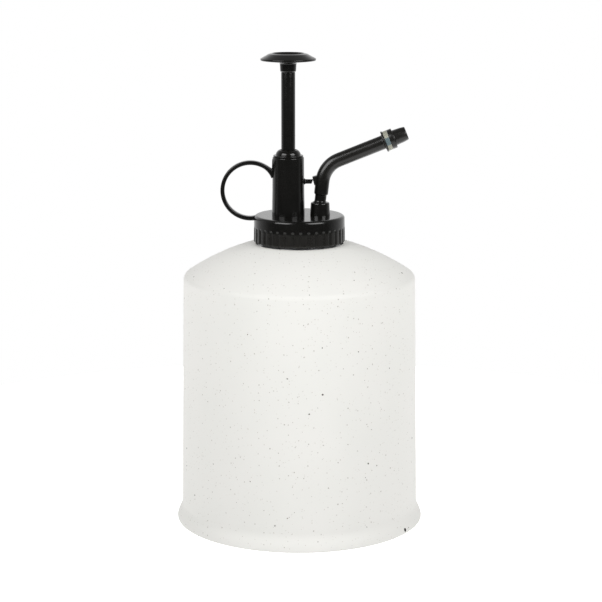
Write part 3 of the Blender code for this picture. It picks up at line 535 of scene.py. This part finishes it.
def pale_washer():
    """Milky washer: warm white, with a cool blue patch of painted shade at its front and back, standing in for the
    dark spigot seen through the plastic.
    """
    look = Look("milky_washer", (0.34, 0.34, 0.27), 0.5)
    side = look.add("ShaderNodeSeparateXYZ", {0: look.place}).outputs["Y"]
    # painted shade: a blue-grey patch on the faces towards front and back, for the dark spigot seen through the
    # milky plastic
    painted_shade_patch = look.ramp(look.maths("ABSOLUTE", side), 3.8 * MM, 4.02 * MM, smooth=True)
    cloud = look.spread(look.noise(1.5 * MM))
    cream = look.mix(cloud, (0.32, 0.32, 0.26), (0.37, 0.365, 0.295))
    look.link(look.mix(painted_shade_patch, cream, (0.11, 0.157, 0.17)), "Base Color")
    look.link(look.spread(look.noise(0.6 * MM), 0.42, 0.55), "Roughness")
    look.link(look.bump(look.noise(0.6 * MM), 0.002 * MM), "Normal")
    return look.material


def rubber():
    look = Look("matt_rubber", (0.022, 0.022, 0.022), 0.7)
    dust = look.spread(look.noise(2 * MM, 4))
    look.link(look.mix(dust, (0.018, 0.018, 0.018), (0.034, 0.033, 0.032)), "Base Color")
    look.link(look.spread(look.noise(0.8 * MM, 3), 0.6, 0.8), "Roughness")
    look.link(look.bump(look.noise(0.18 * MM, 3), 0.006 * MM), "Normal")
    return look.material


def turned_steel():
    """Bright steel with the fine rings that turning leaves."""
    look = Look("turned_steel", (0.56, 0.57, 0.58), 0.3, 1.0)
    flattened = {"Vector": look.place, "Scale": (0.04, 0.04, 1.0)}
    rings = look.noise(0.12 * MM, 3, look.add("ShaderNodeMapping", flattened).outputs[0])
    look.link(look.spread(rings, 0.22, 0.4), "Roughness")
    stain = look.spread(look.noise(9 * MM, 3))
    look.link(look.mix(stain, (0.50, 0.51, 0.52), (0.60, 0.60, 0.61)), "Base Color")
    look.link(look.bump(rings, 0.003 * MM), "Normal")
    return look.material


def spring_steel():
    look = Look("spring_steel", (0.62, 0.62, 0.63), 0.22, 1.0)
    draw = look.noise(0.5 * MM, 4)
    look.link(look.spread(draw, 0.16, 0.32), "Roughness")
    look.link(look.mix(draw, (0.55, 0.55, 0.56), (0.68, 0.68, 0.69)), "Base Color")
    return look.material


LOOKS = {
    "enamel": enamel(),
    "neck_steel": turned_steel(),
    "black_plastic": black_plastic(),
    "natural_plastic": natural_plastic(),
    "pale_washer": pale_washer(),
    "rubber": rubber(),
    "spring_steel": spring_steel(),
}
BODIES = frame["record"]["behaviour"]["bodies"]
BODY_OF = {node: body for body, nodes in BODIES.items() for node in nodes}
SLOT_OF = {part["node"]: part["material_slot"] for part in frame["record"]["subparts"]}


def dress(item, node):
    item.data.materials.clear()
    item.data.materials.append(LOOKS[SLOT_OF[node]])


def stands_for(item, node):
    """Gives a piece its node's finish and body, and hides the node."""
    dress(item, node)
    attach(item, BODY_OF[node])
    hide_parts(node)


# Bottle

def flare_radius(z):
    """Outside of the foot's flare, which eases out of the wall and into the foot."""
    return BODY_LOW_RADIUS + (FOOT_RADIUS - BODY_LOW_RADIUS) * (1 + cos(pi * z / FLARE_HEIGHT)) / 2


def make_shell():
    hole = high("threaded_neck").x + 1.2 * GAP
    levels = [FLARE_HEIGHT * (1 - i / 20) for i in range(20)]
    outer = [
        (hole, SEAT_Z - 0.2 * MM),
        (hole + 0.2 * MM, SEAT_Z),
        (SEAT_RADIUS - 1.5 * MM, SEAT_Z),
    ]
    dome_start = (SEAT_RADIUS + 0.6 * MM, SEAT_Z - 0.15 * MM)
    outer += arc(dome_start, (BODY_TOP_RADIUS, SHOULDER_Z), SHOULDER_ARC, 24)[:-1]
    outer.append((BODY_TOP_RADIUS, SHOULDER_Z, SHOULDER_FILLET))
    outer += [(flare_radius(z), z) for z in levels if z > 1.2 * MM]
    outer += [(FOOT_RADIUS, 0.9 * MM), (FOOT_RADIUS, 0, 0.55 * MM)]
    inner = [(HEM_RADIUS, 0, 0.3 * MM), (HEM_RADIUS, HEM_HEIGHT, 0.2 * MM)]
    inner += [(flare_radius(z) - WALL, z) for z in reversed(levels) if z > HEM_HEIGHT + 0.2 * MM]
    corner = (BODY_TOP_RADIUS - WALL, SHOULDER_Z - WALL / 2)
    inner.append((*corner, SHOULDER_FILLET - WALL))
    seat_low = (SEAT_RADIUS, SEAT_Z - WALL)
    inner += reversed(arc(seat_low, corner, SHOULDER_ARC - WALL, 16)[1:-1])
    inner += [seat_low, (hole, SEAT_Z - WALL)]
    shell = turned("enamelled_shell", rounded(outer + inner, 10), steps=192, closed=True, sharp=40)
    stands_for(shell, "bottle_shell")


def make_base():
    bottom, top, edge = low("bottle_base").z, high("bottle_base").z, half_width("bottle_base")
    floor = bottom + WALL
    outline = [
        (0, floor + BASE_RAISE),
        (BASE_MIDDLE_RADIUS, floor + BASE_RAISE, 3 * MM),
        (BASE_STEP_RADIUS, floor, 3 * MM),
        (edge - WALL, floor, 0.7 * MM),
        (edge - WALL, top, 0.3 * MM),
        (edge, top, 0.3 * MM),
        (edge, bottom, 1.4 * MM),
        (BASE_STEP_RADIUS + 0.3 * MM, bottom, 3 * MM),
        (BASE_MIDDLE_RADIUS + 0.3 * MM, bottom + BASE_RAISE, 3 * MM),
        (0, bottom + BASE_RAISE),
    ]
    stands_for(turned("pressed_base", rounded(outline), steps=160), "bottle_base")


def make_neck():
    bottom, top = low("threaded_neck").z, high("threaded_neck").z
    flange, flange_top = half_width("threaded_neck"), bottom + 1.2 * MM
    outline = [
        (NECK_ROOT, top, 0.4 * MM),
        (NECK_ROOT, SEAT_Z + 0.9 * MM, 0.15 * MM),
        (NECK_CREST, SEAT_Z + 0.5 * MM, 0.15 * MM),
        (NECK_CREST, flange_top, 0.1 * MM),
        (flange, flange_top, 0.3 * MM),
        (flange, bottom, 0.3 * MM),
        (NECK_BORE, bottom, 0.3 * MM),
        (NECK_BORE, top, 0.3 * MM),
    ]
    outline = refined(rounded(outline, 4), 0.16 * MM, SEAT_Z + 1.0 * MM, top - 0.3 * MM)
    neck = turned("steel_neck", outline, steps=128, closed=True,
                  relief=thread(NECK_ROOT, NECK_CREST, NECK_THREAD_Z))
    stands_for(neck, "threaded_neck")


def make_gasket():
    bottom, top, outer = low("neck_gasket").z, high("neck_gasket").z, half_width("neck_gasket")
    outline = ring_outline(outer, GASKET_BORE, bottom, top, 0.2 * MM)
    stands_for(turned("flat_gasket", rounded(outline, 4), closed=True), "neck_gasket")


# Cap and head moulding

def flute_relief(angle, r, z):
    """Cuts the grip flutes into the cap's skirt. They run out at the top, in the plain band."""
    if r < BAND_RADIUS - 0.9 * MM or z > RIB_TOP_Z + FLUTE_RUN_OUT:
        return r
    pitch = 2 * pi / RIB_COUNT
    middle = -pi / 2 + RIB_TURN + pitch / 2
    phase = abs((angle - middle + pitch / 2) % pitch - pitch / 2) / pitch
    across = eased(clamped((FLUTE_HALF - phase) / FLUTE_SLOPE))
    depth = eased(clamped((RIB_TOP_Z + FLUTE_RUN_OUT - z) / (2 * FLUTE_RUN_OUT)))
    return r - FLUTE_DEPTH * across * depth


def make_cap():
    outline = [
        (0, DECK_Z),
        (BAND_RADIUS - 2.6 * MM, DECK_Z),
        (BAND_RADIUS, DECK_Z, 1.3 * MM),
        (RIB_RADIUS, CAP_BOTTOM_Z, 0.75 * MM),
        (CAP_BORE, CAP_BOTTOM_Z, 0.3 * MM),
        (CAP_BORE, DECK_Z - DECK_THICKNESS, 0.5 * MM),
        (0, DECK_Z - DECK_THICKNESS),
    ]
    outline = refined(rounded(outline, 10), 0.2 * MM, CAP_BOTTOM_Z + 0.5 * MM, RIB_TOP_Z + 0.8 * MM)
    inner_thread = thread(CAP_BORE, CAP_THREAD_CREST, CAP_THREAD_Z)

    def relief(angle, r, z):
        return flute_relief(angle, inner_thread(angle, r, z), z)

    cap = turned("ribbed_cap", outline, steps=RIB_COUNT * 16, relief=relief, sharp=50)
    above, beneath = DECK_Z + 2 * DECK_THICKNESS, DECK_Z - 2 * DECK_THICKNESS
    holes = []
    for x, radius in ((TOWER_X, TOWER_BORE), (SPOUT_X, half_width("riser_tube") + GAP)):
        points = [(0, above), (radius, above), (radius, beneath), (0, beneath)]
        holes.append(turned("deck_hole", points, upright(x), FINE_STEPS))
    stands_for(cut(cap, *holes, sharp=50), "screw_cap")


def make_pad():
    """The flat pad behind the finger ring's root, chamfered at its top."""
    left = low("pump_tower").x
    pad = soft_block("pad", (1.3 * MM, RING_WIDTH, 7.1 * MM),
                     (left + 0.65 * MM, 0, TOWER_TOP_Z - 4.25 * MM), radius=0.28 * MM)
    for vert in pad.data.vertices:
        if vert.co.x < left + 0.6 * MM:
            vert.co.x += 0.12 * max(0.0, vert.co.z - (TOWER_TOP_Z - 3.6 * MM))
    return pad


def make_peg():
    """The brace peg, flared at the tower and cut at a slant at its tip."""
    start = TOWER_X + TOWER_BORE + 0.5 * MM
    tip = high("pump_tower").x + 0.1 * MM
    length = tip - start
    outline = [
        (0, length),
        (PEG_RADIUS, length, 0.15 * MM),
        (PEG_RADIUS, 1.3 * MM, 0.7 * MM),
        (PEG_RADIUS + PEG_ROOT, 0.5 * MM),
        (PEG_RADIUS + PEG_ROOT, 0),
        (0, 0),
    ]
    place = straight(Vector((start, 0, PEG_Z)), Vector((1, 0, 0)))
    peg = turned("peg", rounded(outline, 6), place, 32)
    for vert in peg.data.vertices:
        if vert.co.x > tip - 0.3 * MM:
            vert.co.x += 0.35 * (vert.co.z - PEG_Z - PEG_RADIUS)
    return peg


def make_tower():
    foot = DECK_Z - SINK
    outline = [
        (TOWER_TOP_RADIUS, TOWER_TOP_Z, 0.35 * MM),
        (TOWER_RADIUS, RING_CENTRE.z),
        (TOWER_FOOT_RADIUS, foot),
        (TOWER_BORE, foot),
        (TOWER_BORE, TOWER_TOP_Z, 0.2 * MM),
    ]
    tower = turned("moulded_tower", rounded(outline, 8), upright(TOWER_X), closed=True)
    stands_for(joined(tower, make_pad(), make_peg()), "pump_tower")


def band_section(centre, outward, half_thickness, half_depth):
    """A rounded rectangle across the finger ring's band."""
    points = []
    for k in range(BAND_SIDES):
        a = 2 * pi * k / BAND_SIDES
        across = abs(cos(a)) ** BAND_SQUARENESS * (1 if cos(a) > 0 else -1)
        beside = abs(sin(a)) ** BAND_SQUARENESS * (1 if sin(a) > 0 else -1)
        points.append(centre + outward * (half_thickness * across) + Y_AXIS * (half_depth * beside))
    return points


def make_finger_band():
    """The C-shaped ring, from the tower's pad over its top, round to the cap's band."""
    middle = RING_RADIUS + 0.05 * MM - RING_THICKNESS / 2
    tower_face = TOWER_X - TOWER_RADIUS + 0.9 * MM - RING_CENTRE.x
    cap_face = -BAND_RADIUS + 1.6 * MM - RING_CENTRE.x
    start = pi / 2 - asin(tower_face / middle)
    end = 3 * pi / 2 + asin(min(0.95, cap_face / middle))
    sections = []
    for i in range(TURNED_STEPS + 1):
        angle = start + (end - start) * i / TURNED_STEPS
        outward = Vector((cos(angle), 0, sin(angle)))
        near_tower = max(0.0, 1 - (angle - start) / radians(30))
        near_cap = max(0.0, 1 - (end - angle) / radians(16))
        swell = 0.65 * MM * near_tower ** 1.5 + 0.25 * MM * near_cap ** 2
        sections.append(band_section(RING_CENTRE + outward * middle, outward,
                                     RING_THICKNESS / 2 + swell, RING_WIDTH / 2 + swell * 0.25))
    stands_for(lofted("finger_band", sections), "finger_ring")


def make_socket_boss():
    foot, top = DECK_Z - SINK, high("spout_socket").z
    wide, bore = half_width("spout_socket"), 2.7 * MM
    outline = [
        (wide - 0.32 * MM, top + 0.1 * MM, 0.6 * MM),
        (wide, foot),
        (bore, foot),
        (bore, top - 0.1 * MM, 0.2 * MM),
    ]
    boss = turned("socket_boss", rounded(outline, 8), upright(SPOUT_X), FINE_STEPS, True)
    stands_for(boss, "spout_socket")


def make_gland():
    bottom, top = low("gland_cap").z, high("gland_cap").z
    seat, flange = TOWER_TOP_Z + 0.12 * MM, TOWER_TOP_Z + 0.8 * MM
    wide = half_width("gland_cap")
    dome, hole = 5.25 * MM, ROD_RADIUS + 0.25 * MM
    outline = [
        (hole, top - 0.55 * MM),
        (hole + 0.25 * MM, top - 0.25 * MM),
        (hole + 0.45 * MM, top, 0.15 * MM),
    ]
    outline += arc((hole + 0.75 * MM, top), (dome, flange + 0.5 * MM), 3.2 * MM, 14)
    outline += [
        (dome, flange, 0.25 * MM),
        (wide, flange, 0.25 * MM),
        (wide, seat, 0.12 * MM),
        (TOWER_BORE - GAP, seat, 0.1 * MM),
        (TOWER_BORE - GAP, bottom),
        (hole, bottom),
    ]
    gland = turned("domed_gland", rounded(outline, 6), upright(TOWER_X), closed=True)
    stands_for(gland, "gland_cap")


# Plunger

def make_rod():
    bottom, top = low("plunger_rod").z, high("plunger_rod").z
    collar, piston_end = low("plunger_knob").z - 0.1 * MM, high("piston").z + GAP
    stud, pin = 2.0 * MM, 1.4 * MM
    outline = [
        (0, top),
        (stud, top, 0.3 * MM),
        (stud, collar),
        (ROD_RADIUS, collar, 0.2 * MM),
        (ROD_RADIUS, piston_end, 0.2 * MM),
        (pin, piston_end),
        (pin, bottom, 0.2 * MM),
        (0, bottom),
    ]
    rod = turned("push_rod", rounded(outline, 4), upright(TOWER_X), FINE_STEPS)
    stands_for(rod, "plunger_rod")


def make_knob():
    """The thumb knob: a conical dish, a lip, a sloping brow out to the rim, and a collar."""
    bottom, top, rim = low("plunger_knob").z, high("plunger_knob").z, half_width("plunger_knob")
    rim_z, lip, neck = top - 2.6 * MM, 6.85 * MM, 3.5 * MM
    dish, socket, socket_top = top - 1.4 * MM, 2.3 * MM, top - 3.4 * MM
    outline = [
        (0, dish),
        (lip - 1.6 * MM, dish, 0.8 * MM),
        (lip, top, 0.12 * MM),
        (lip + 1.25 * MM, top - 0.3 * MM, 0.9 * MM),
        (rim, rim_z + 0.35 * MM, 0.35 * MM),
        (rim, rim_z - 0.4 * MM, 0.35 * MM),
        (neck + 0.4 * MM, rim_z - 1.25 * MM, 0.4 * MM),
        (neck, rim_z - 1.7 * MM, 0.5 * MM),
        (neck - 0.18 * MM, bottom + 0.45 * MM, 0.2 * MM),
        (neck - 0.5 * MM, bottom, 0.12 * MM),
        (socket, bottom),
        (socket, socket_top),
        (0, socket_top),
    ]
    knob = turned("thumb_knob", rounded(outline, 8), upright(TOWER_X), 128, sharp=45)
    stands_for(knob, "plunger_knob")


def washer(name, node, bore, x, corner):
    """A seal or tube with rounded edges, of its node's height and outside."""
    outline = ring_outline(half_width(node), bore, low(node).z, high(node).z, corner)
    return turned(name, rounded(outline, 4), upright(x), FINE_STEPS, True)


def make_piston():
    bottom, top = low("piston").z, high("piston").z
    radius, groove, hole, hole_end = half_width("piston"), 3.0 * MM, 1.7 * MM, bottom + 2.3 * MM
    groove_top, groove_bottom = top - 1.6 * MM, top - 3.6 * MM
    outline = [
        (0, hole_end),
        (hole, hole_end),
        (hole, top),
        (radius, top, 0.4 * MM),
        (radius, groove_top, 0.15 * MM),
        (groove, groove_top),
        (groove, groove_bottom),
        (radius, groove_bottom, 0.15 * MM),
        (radius, bottom, 0.4 * MM),
        (0, bottom),
    ]
    stands_for(turned("pump_piston", rounded(outline, 4), upright(TOWER_X), FINE_STEPS), "piston")
    seal = washer("piston_ring", "piston_seal", groove + 0.2 * MM, TOWER_X, 0.5 * MM)
    stands_for(seal, "piston_seal")


# Pump, valves and tubes

def make_pump():
    bottom, top = low("pump_cylinder").z, high("pump_cylinder").z
    flange, flange_top = half_width("pump_cylinder"), DECK_Z - DECK_THICKNESS - 0.1 * MM
    flange_bottom = flange_top - 1.2 * MM
    outer, bore = 5.2 * MM, 4.4 * MM
    outline = [
        (outer, top, 0.2 * MM),
        (outer, flange_top, 0.1 * MM),
        (flange, flange_top, 0.2 * MM),
        (flange, flange_bottom, 0.3 * MM),
        (outer, flange_bottom, 0.5 * MM),
        (outer, bottom, 0.2 * MM),
        (bore, bottom, 0.2 * MM),
        (bore, top, 0.2 * MM),
    ]
    barrel = turned("pump_barrel", rounded(outline, 4), upright(TOWER_X), closed=True)
    stands_for(barrel, "pump_cylinder")
    for name, node, bore, x, corner in (
            ("rod_packing", "rod_seal", ROD_RADIUS + 0.15 * MM, TOWER_X, 0.3 * MM),
            ("spout_packing", "spout_seal", 1.4 * MM, SPOUT_X, 0.2 * MM),
            ("riser_pipe", "riser_tube", 1.1 * MM, SPOUT_X, 0.2 * MM)):
        stands_for(washer(name, node, bore, x, corner), node)


def make_pickup_tube():
    """The dip tube, its lower end cut at a slant so that it can't seal on the base."""
    end_z, left, slant = low("dip_tube").z + 1.0 * MM, TOWER_X - half_width("dip_tube"), radians(35)
    pickup = washer("pickup_tube", "dip_tube", 1.7 * MM, TOWER_X, 0.15 * MM)
    for vert in pickup.data.vertices:
        if vert.co.z < end_z:
            vert.co.z += (vert.co.x - left) * tan(slant)
    stands_for(pickup, "dip_tube")


def make_valve_block():
    """Inlet column, outlet column and the web between them."""
    top, bottom = high("valve_body").z, low("valve_body").z
    block_bottom, block_top, column_top = bottom + 6 * MM, bottom + 17 * MM, bottom + 20 * MM
    throat, wide, collar = 3.9 * MM, 5.2 * MM, 4.1 * MM
    column = [
        (0, column_top),
        (collar, column_top, 0.4 * MM),
        (collar, block_top),
        (wide, block_top, 0.2 * MM),
        (wide, block_bottom, 0.6 * MM),
        (throat, block_bottom, 0.3 * MM),
        (throat, bottom, 0.4 * MM),
        (0, bottom),
    ]
    block = turned("valve_block", rounded(column, 4), upright(TOWER_X), FINE_STEPS)
    side, side_bottom = 3.4 * MM, bottom + 10 * MM
    column = [(0, top), (side, top, 0.4 * MM), (side, side_bottom, 0.8 * MM), (0, side_bottom)]
    outlet = turned("outlet", rounded(column, 4), upright(SPOUT_X), FINE_STEPS)
    cross_z = bottom + 13.2 * MM
    web = soft_block("web", (SPOUT_X - TOWER_X, 4.4 * MM, 4.6 * MM),
                     Vector(((TOWER_X + SPOUT_X) / 2, 0, cross_z)), radius=0.5 * MM)
    joined(block, outlet, web)

    press = 0.1 * MM                    # room round a tube in its socket
    dip, dip_stop, below = half_width("dip_tube") + press, high("dip_tube").z + GAP, bottom - 1 * MM
    chamber, inlet = 3.0 * MM, 1.5 * MM
    inlet_bore = turned("inlet_bore", [
        (0, top),
        (chamber, top),
        (chamber, bottom + 10.5 * MM),
        (inlet, bottom + 8.5 * MM),
        (inlet, dip_stop),
        (dip, dip_stop),
        (dip, below),
        (0, below),
    ], upright(TOWER_X), HOLE_STEPS)
    riser, riser_stop = half_width("riser_tube") + press, low("riser_tube").z - GAP
    above = top + 1 * MM
    chamber, seat = 1.9 * MM, 0.9 * MM
    outlet_bore = turned("outlet_bore", [
        (0, above),
        (riser, above),
        (riser, riser_stop),
        (chamber, riser_stop),
        (chamber, bottom + 16 * MM),
        (seat, bottom + 15 * MM),
        (seat, cross_z),
        (0, cross_z),
    ], upright(SPOUT_X), HOLE_STEPS)
    stands_for(cut(block, inlet_bore, outlet_bore), "valve_body")


def make_springs():
    bottom, top = low("return_spring").z, high("return_spring").z
    coil = wound("return_coil", TOWER_X, 3.5 * MM, 0.35 * MM, bottom, top, 7)
    stands_for(coil, "return_spring")
    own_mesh(coil)
    bottom, top = low("outlet_spring").z, high("outlet_spring").z
    coil = wound("outlet_coil", SPOUT_X, 1.2 * MM, 0.2 * MM, bottom, top, 4, 24, 10)
    stands_for(coil, "outlet_spring")
    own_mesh(coil)


# Spout and nozzle. The nozzle's lengths run from the middle of the spout's flange.

NOZZLE_PLACE = straight(FLANGE_MIDDLE, SPOUT_AXIS)


def spout_path():
    """The spout's centreline as a function of the distance from its foot, and its length."""
    tip = FLANGE_MIDDLE + SPOUT_AXIS * SPOUT_TIP_LENGTH
    corners = [
        (SPOUT_X, low("spout_tube").z),
        (SPOUT_X, high("spout_socket").z, 12 * MM),
        (ELBOW.x, ELBOW.z, ELBOW_RADIUS),
        (tip.x, tip.z),
    ]
    points = [Vector((x, 0, z)) for x, z in rounded(corners, 32)]
    lengths = [0.0]
    for a, b in zip(points, points[1:]):
        lengths.append(lengths[-1] + (b - a).length)
    last = len(points) - 1
    tangents = [(points[min(i + 1, last)] - points[max(i - 1, 0)]).normalized()
                for i in range(len(points))]

    def place(s):
        s = clamped(s, 0.0, lengths[-1] - 1e-9)
        i = next(k for k in range(last) if lengths[k + 1] > s)
        share = (s - lengths[i]) / (lengths[i + 1] - lengths[i])
        tangent = tangents[i].lerp(tangents[i + 1], share).normalized()
        across = Y_AXIS.cross(tangent).normalized()
        return points[i].lerp(points[i + 1], share), across, Y_AXIS

    return place, lengths[-1]


def make_spout():
    place, length = spout_path()
    flange, half_flange = length - SPOUT_TIP_LENGTH, 0.35 * MM
    step = SPOUT_STEP_Z - low("spout_tube").z
    boss = high("spout_socket").z - low("spout_tube").z
    wide, tip, bore = 4.55 * MM, 1.9 * MM, 1.1 * MM
    outline = [
        (tip, length, 0.2 * MM),
        (tip, flange + half_flange),
        (wide, flange + half_flange, 0.18 * MM),
        (wide, flange - half_flange, 0.25 * MM),
        (SPOUT_RADIUS, flange - half_flange, 0.5 * MM),
        (SPOUT_RADIUS, step + 0.1 * MM, 0.25 * MM),
        (SPIGOT_RADIUS, step - 0.55 * MM, 0.3 * MM),
        (SPIGOT_RADIUS, boss + 0.45 * MM, 0.7 * MM),
        (SPIGOT_RADIUS + 0.75 * MM, boss - 0.12 * MM, 0.15 * MM),
        (SPIGOT_RADIUS, boss - 0.5 * MM),
        (SPIGOT_RADIUS, 0, 0.2 * MM),
        (bore, 0, 0.15 * MM),
        (bore, length, 0.15 * MM),
    ]
    outline = refined(rounded(outline), 0.5 * MM)
    spout = turned("bent_spout", outline, place, FINE_STEPS, True, sharp=40)
    lug = soft_block("lug", (2.9 * MM, 3.0 * MM, 3.7 * MM),
                     (low("spout_tube").x + 1.5 * MM, 0, LUG_TOP_Z - 1.8 * MM), radians(-14))
    stands_for(joined(spout, lug), "spout_tube")


def make_nozzle_washer():
    outline = ring_outline(4.25 * MM, 2.1 * MM, 0.38 * MM, 2.32 * MM, 0.22 * MM, 0.2 * MM)
    washer_piece = turned("milky_washer", rounded(outline), NOZZLE_PLACE, closed=True)
    stands_for(washer_piece, "nozzle_washer")


def make_nozzle_cap():
    start, flange_end, end = 2.36 * MM, 4.3 * MM, 9.9 * MM
    flange, base, tip, bore, orifice = 4.25 * MM, 3.3 * MM, 2.82 * MM, 2.2 * MM, 0.45 * MM
    bore_end, chamber, chamber_end = 5.75 * MM, 2.0 * MM, 8.7 * MM
    outline = [
        (orifice * 2.5, end, 0.12 * MM),
        (tip, end, 0.55 * MM),
        (tip + 0.32 * MM, end - 2.2 * MM, 6.0 * MM),
        (base, flange_end, 0.35 * MM),
        (flange, flange_end, 0.2 * MM),
        (flange, start, 0.2 * MM),
        (bore, start, 0.15 * MM),
        (bore, bore_end),
        (chamber, bore_end),
        (chamber, chamber_end),
        (orifice, chamber_end),
        (orifice, end - 0.45 * MM),
    ]
    nozzle = turned("tapered_nozzle", rounded(outline), NOZZLE_PLACE, closed=True, sharp=40)
    stands_for(nozzle, "nozzle_cap")


def make_swirl_core():
    """A plug with two slots in its front end, which set the water spinning."""
    radius, start, end = 1.7 * MM, 5.9 * MM, 8.4 * MM
    outline = [(0, end), (radius, end, 0.2 * MM), (radius, start, 0.2 * MM), (0, start)]
    core = turned("slotted_core", rounded(outline, 4), NOZZLE_PLACE, HOLE_STEPS)
    slots = []
    for side in (-1, 1):
        centre = FLANGE_MIDDLE + SPOUT_AXIS * end + Y_AXIS * (side * radius)
        slots.append(soft_block("slot", (8 * MM, 1.2 * MM, 0.6 * MM), centre,
                                atan2(-SPOUT_AXIS.z, SPOUT_AXIS.x), 0.1 * MM))
    stands_for(cut(core, *slots), "swirl_core")


def dress_kept_nodes():
    """The valve balls keep their frame shape and take their slot's look."""
    for node in ("inlet_ball", "outlet_ball"):
        item = frame["nodes"][node]
        dress(item, node)
        for face in item.data.polygons:
            face.use_smooth = True


# Studio

SOFTBOX_HEIGHT = 0.6
SOFTBOX_ELEVATION = radians(32)
SOFTBOX_DISTANCE = 0.9
SOFTBOX_TARGET = Vector((0, 0, 0.12))
FLOOR_RADIUS = 0.28
CAMERA_PITCH = radians(11.75)
CAMERA_DISTANCE = 0.832
CAMERA_TARGET = Vector((0.7 * MM, 0, 94.75 * MM))


def softbox(name, width, power, azimuth):
    """An area light in front of the object: azimuth 0 is the front, 90 the spout's side."""
    light = bpy.data.lights.new(name, "AREA")
    light.shape = "RECTANGLE"
    light.size, light.size_y = width, SOFTBOX_HEIGHT
    light.energy = power
    item = bpy.data.objects.new(name, light)
    a, e = radians(azimuth), SOFTBOX_ELEVATION
    offset = Vector((sin(a) * cos(e), -cos(a) * cos(e), sin(e))) * SOFTBOX_DISTANCE
    item.location = SOFTBOX_TARGET + offset
    item.rotation_euler = (-offset).to_track_quat("-Z", "Y").to_euler()
    item.visible_camera = False
    bpy.context.scene.collection.objects.link(item)


def make_floor():
    """A round pale floor, bright enough to run into the background, which throws no light back."""
    shape = bmesh.new()
    bmesh.ops.create_circle(shape, cap_ends=True, segments=128, radius=FLOOR_RADIUS)
    floor = piece("floor", shape)
    floor.location.z = -0.02 * MM
    material = bpy.data.materials.new("pale_floor")
    material.use_nodes = True
    shader = material.node_tree.nodes["Principled BSDF"]
    for socket, value in (("Base Color", (0.85, 0.85, 0.85, 1)), ("Roughness", 0.9),
                          ("Specular IOR Level", 0.0), ("Emission Color", (1, 1, 1, 1)),
                          ("Emission Strength", 1.0)):
        shader.inputs[socket].default_value = value
    floor.data.materials.append(material)
    floor.visible_diffuse = False
    floor.visible_glossy = False
    floor.visible_shadow = False


def make_surroundings():
    """A room that lights from behind and below, dark in front, with a dimmer ceiling.

    The camera sees plain white instead.
    """
    world = bpy.data.worlds.new("studio")
    bpy.context.scene.world = world
    world.use_nodes = True
    tree = world.node_tree
    tree.nodes.clear()
    add, link = tree.nodes.new, tree.links.new
    direction = add("ShaderNodeSeparateXYZ")
    link(add("ShaderNodeTexCoord").outputs["Generated"], direction.inputs[0])

    def ramp(axis, shape, *ends):
        node = add("ShaderNodeMapRange")
        node.interpolation_type = shape
        for key, value in zip(("From Min", "From Max", "To Min", "To Max"), ends):
            node.inputs[key].default_value = value
        link(direction.outputs[axis], node.inputs["Value"])
        return node.outputs[0]

    strength = add("ShaderNodeMath")
    strength.operation = "MULTIPLY_ADD"
    link(ramp("Y", "LINEAR", -0.25, 1.0, 0.08, 1.0), strength.inputs[0])        # behind
    link(ramp("Z", "SMOOTHSTEP", 0.3, 0.75, 1.0, 0.45), strength.inputs[1])     # ceiling
    link(ramp("Z", "SMOOTHSTEP", -0.55, -0.3, 1.2, 0.0), strength.inputs[2])    # below
    room, backdrop = add("ShaderNodeBackground"), add("ShaderNodeBackground")
    link(strength.outputs[0], room.inputs["Strength"])
    backdrop.inputs["Strength"].default_value = 1.0
    for node in (room, backdrop):
        node.inputs["Color"].default_value = (1, 1, 1, 1)
    choose = add("ShaderNodeMixShader")
    link(add("ShaderNodeLightPath").outputs["Is Camera Ray"], choose.inputs[0])
    link(room.outputs[0], choose.inputs[1])
    link(backdrop.outputs[0], choose.inputs[2])
    link(choose.outputs[0], add("ShaderNodeOutputWorld").inputs[0])


def make_camera():
    """Level with the cap, looking down a little, square to the plane of ring and spout."""
    lens = bpy.data.cameras.new("camera")
    lens.lens = 116.6
    lens.sensor_width = 36
    camera = bpy.data.objects.new("camera", lens)
    back = Vector((0, -cos(CAMERA_PITCH), sin(CAMERA_PITCH)))
    camera.location = CAMERA_TARGET + back * CAMERA_DISTANCE
    camera.rotation_euler = (pi / 2 - CAMERA_PITCH, 0, 0)
    bpy.context.scene.collection.objects.link(camera)
    bpy.context.scene.camera = camera


make_shell()
make_base()
make_neck()
make_gasket()
make_cap()
make_tower()
make_finger_band()
make_socket_boss()
make_gland()
make_rod()
make_knob()
make_piston()
make_pump()
make_pickup_tube()
make_valve_block()
make_springs()
make_spout()
make_nozzle_washer()
make_nozzle_cap()
make_swirl_core()
dress_kept_nodes()

make_floor()
make_surroundings()
make_camera()
softbox("left_softbox", 0.6, 5.3, -46)
softbox("right_softbox", 0.58, 5.6, 46)
bpy.context.scene.view_settings.view_transform = "Standard"
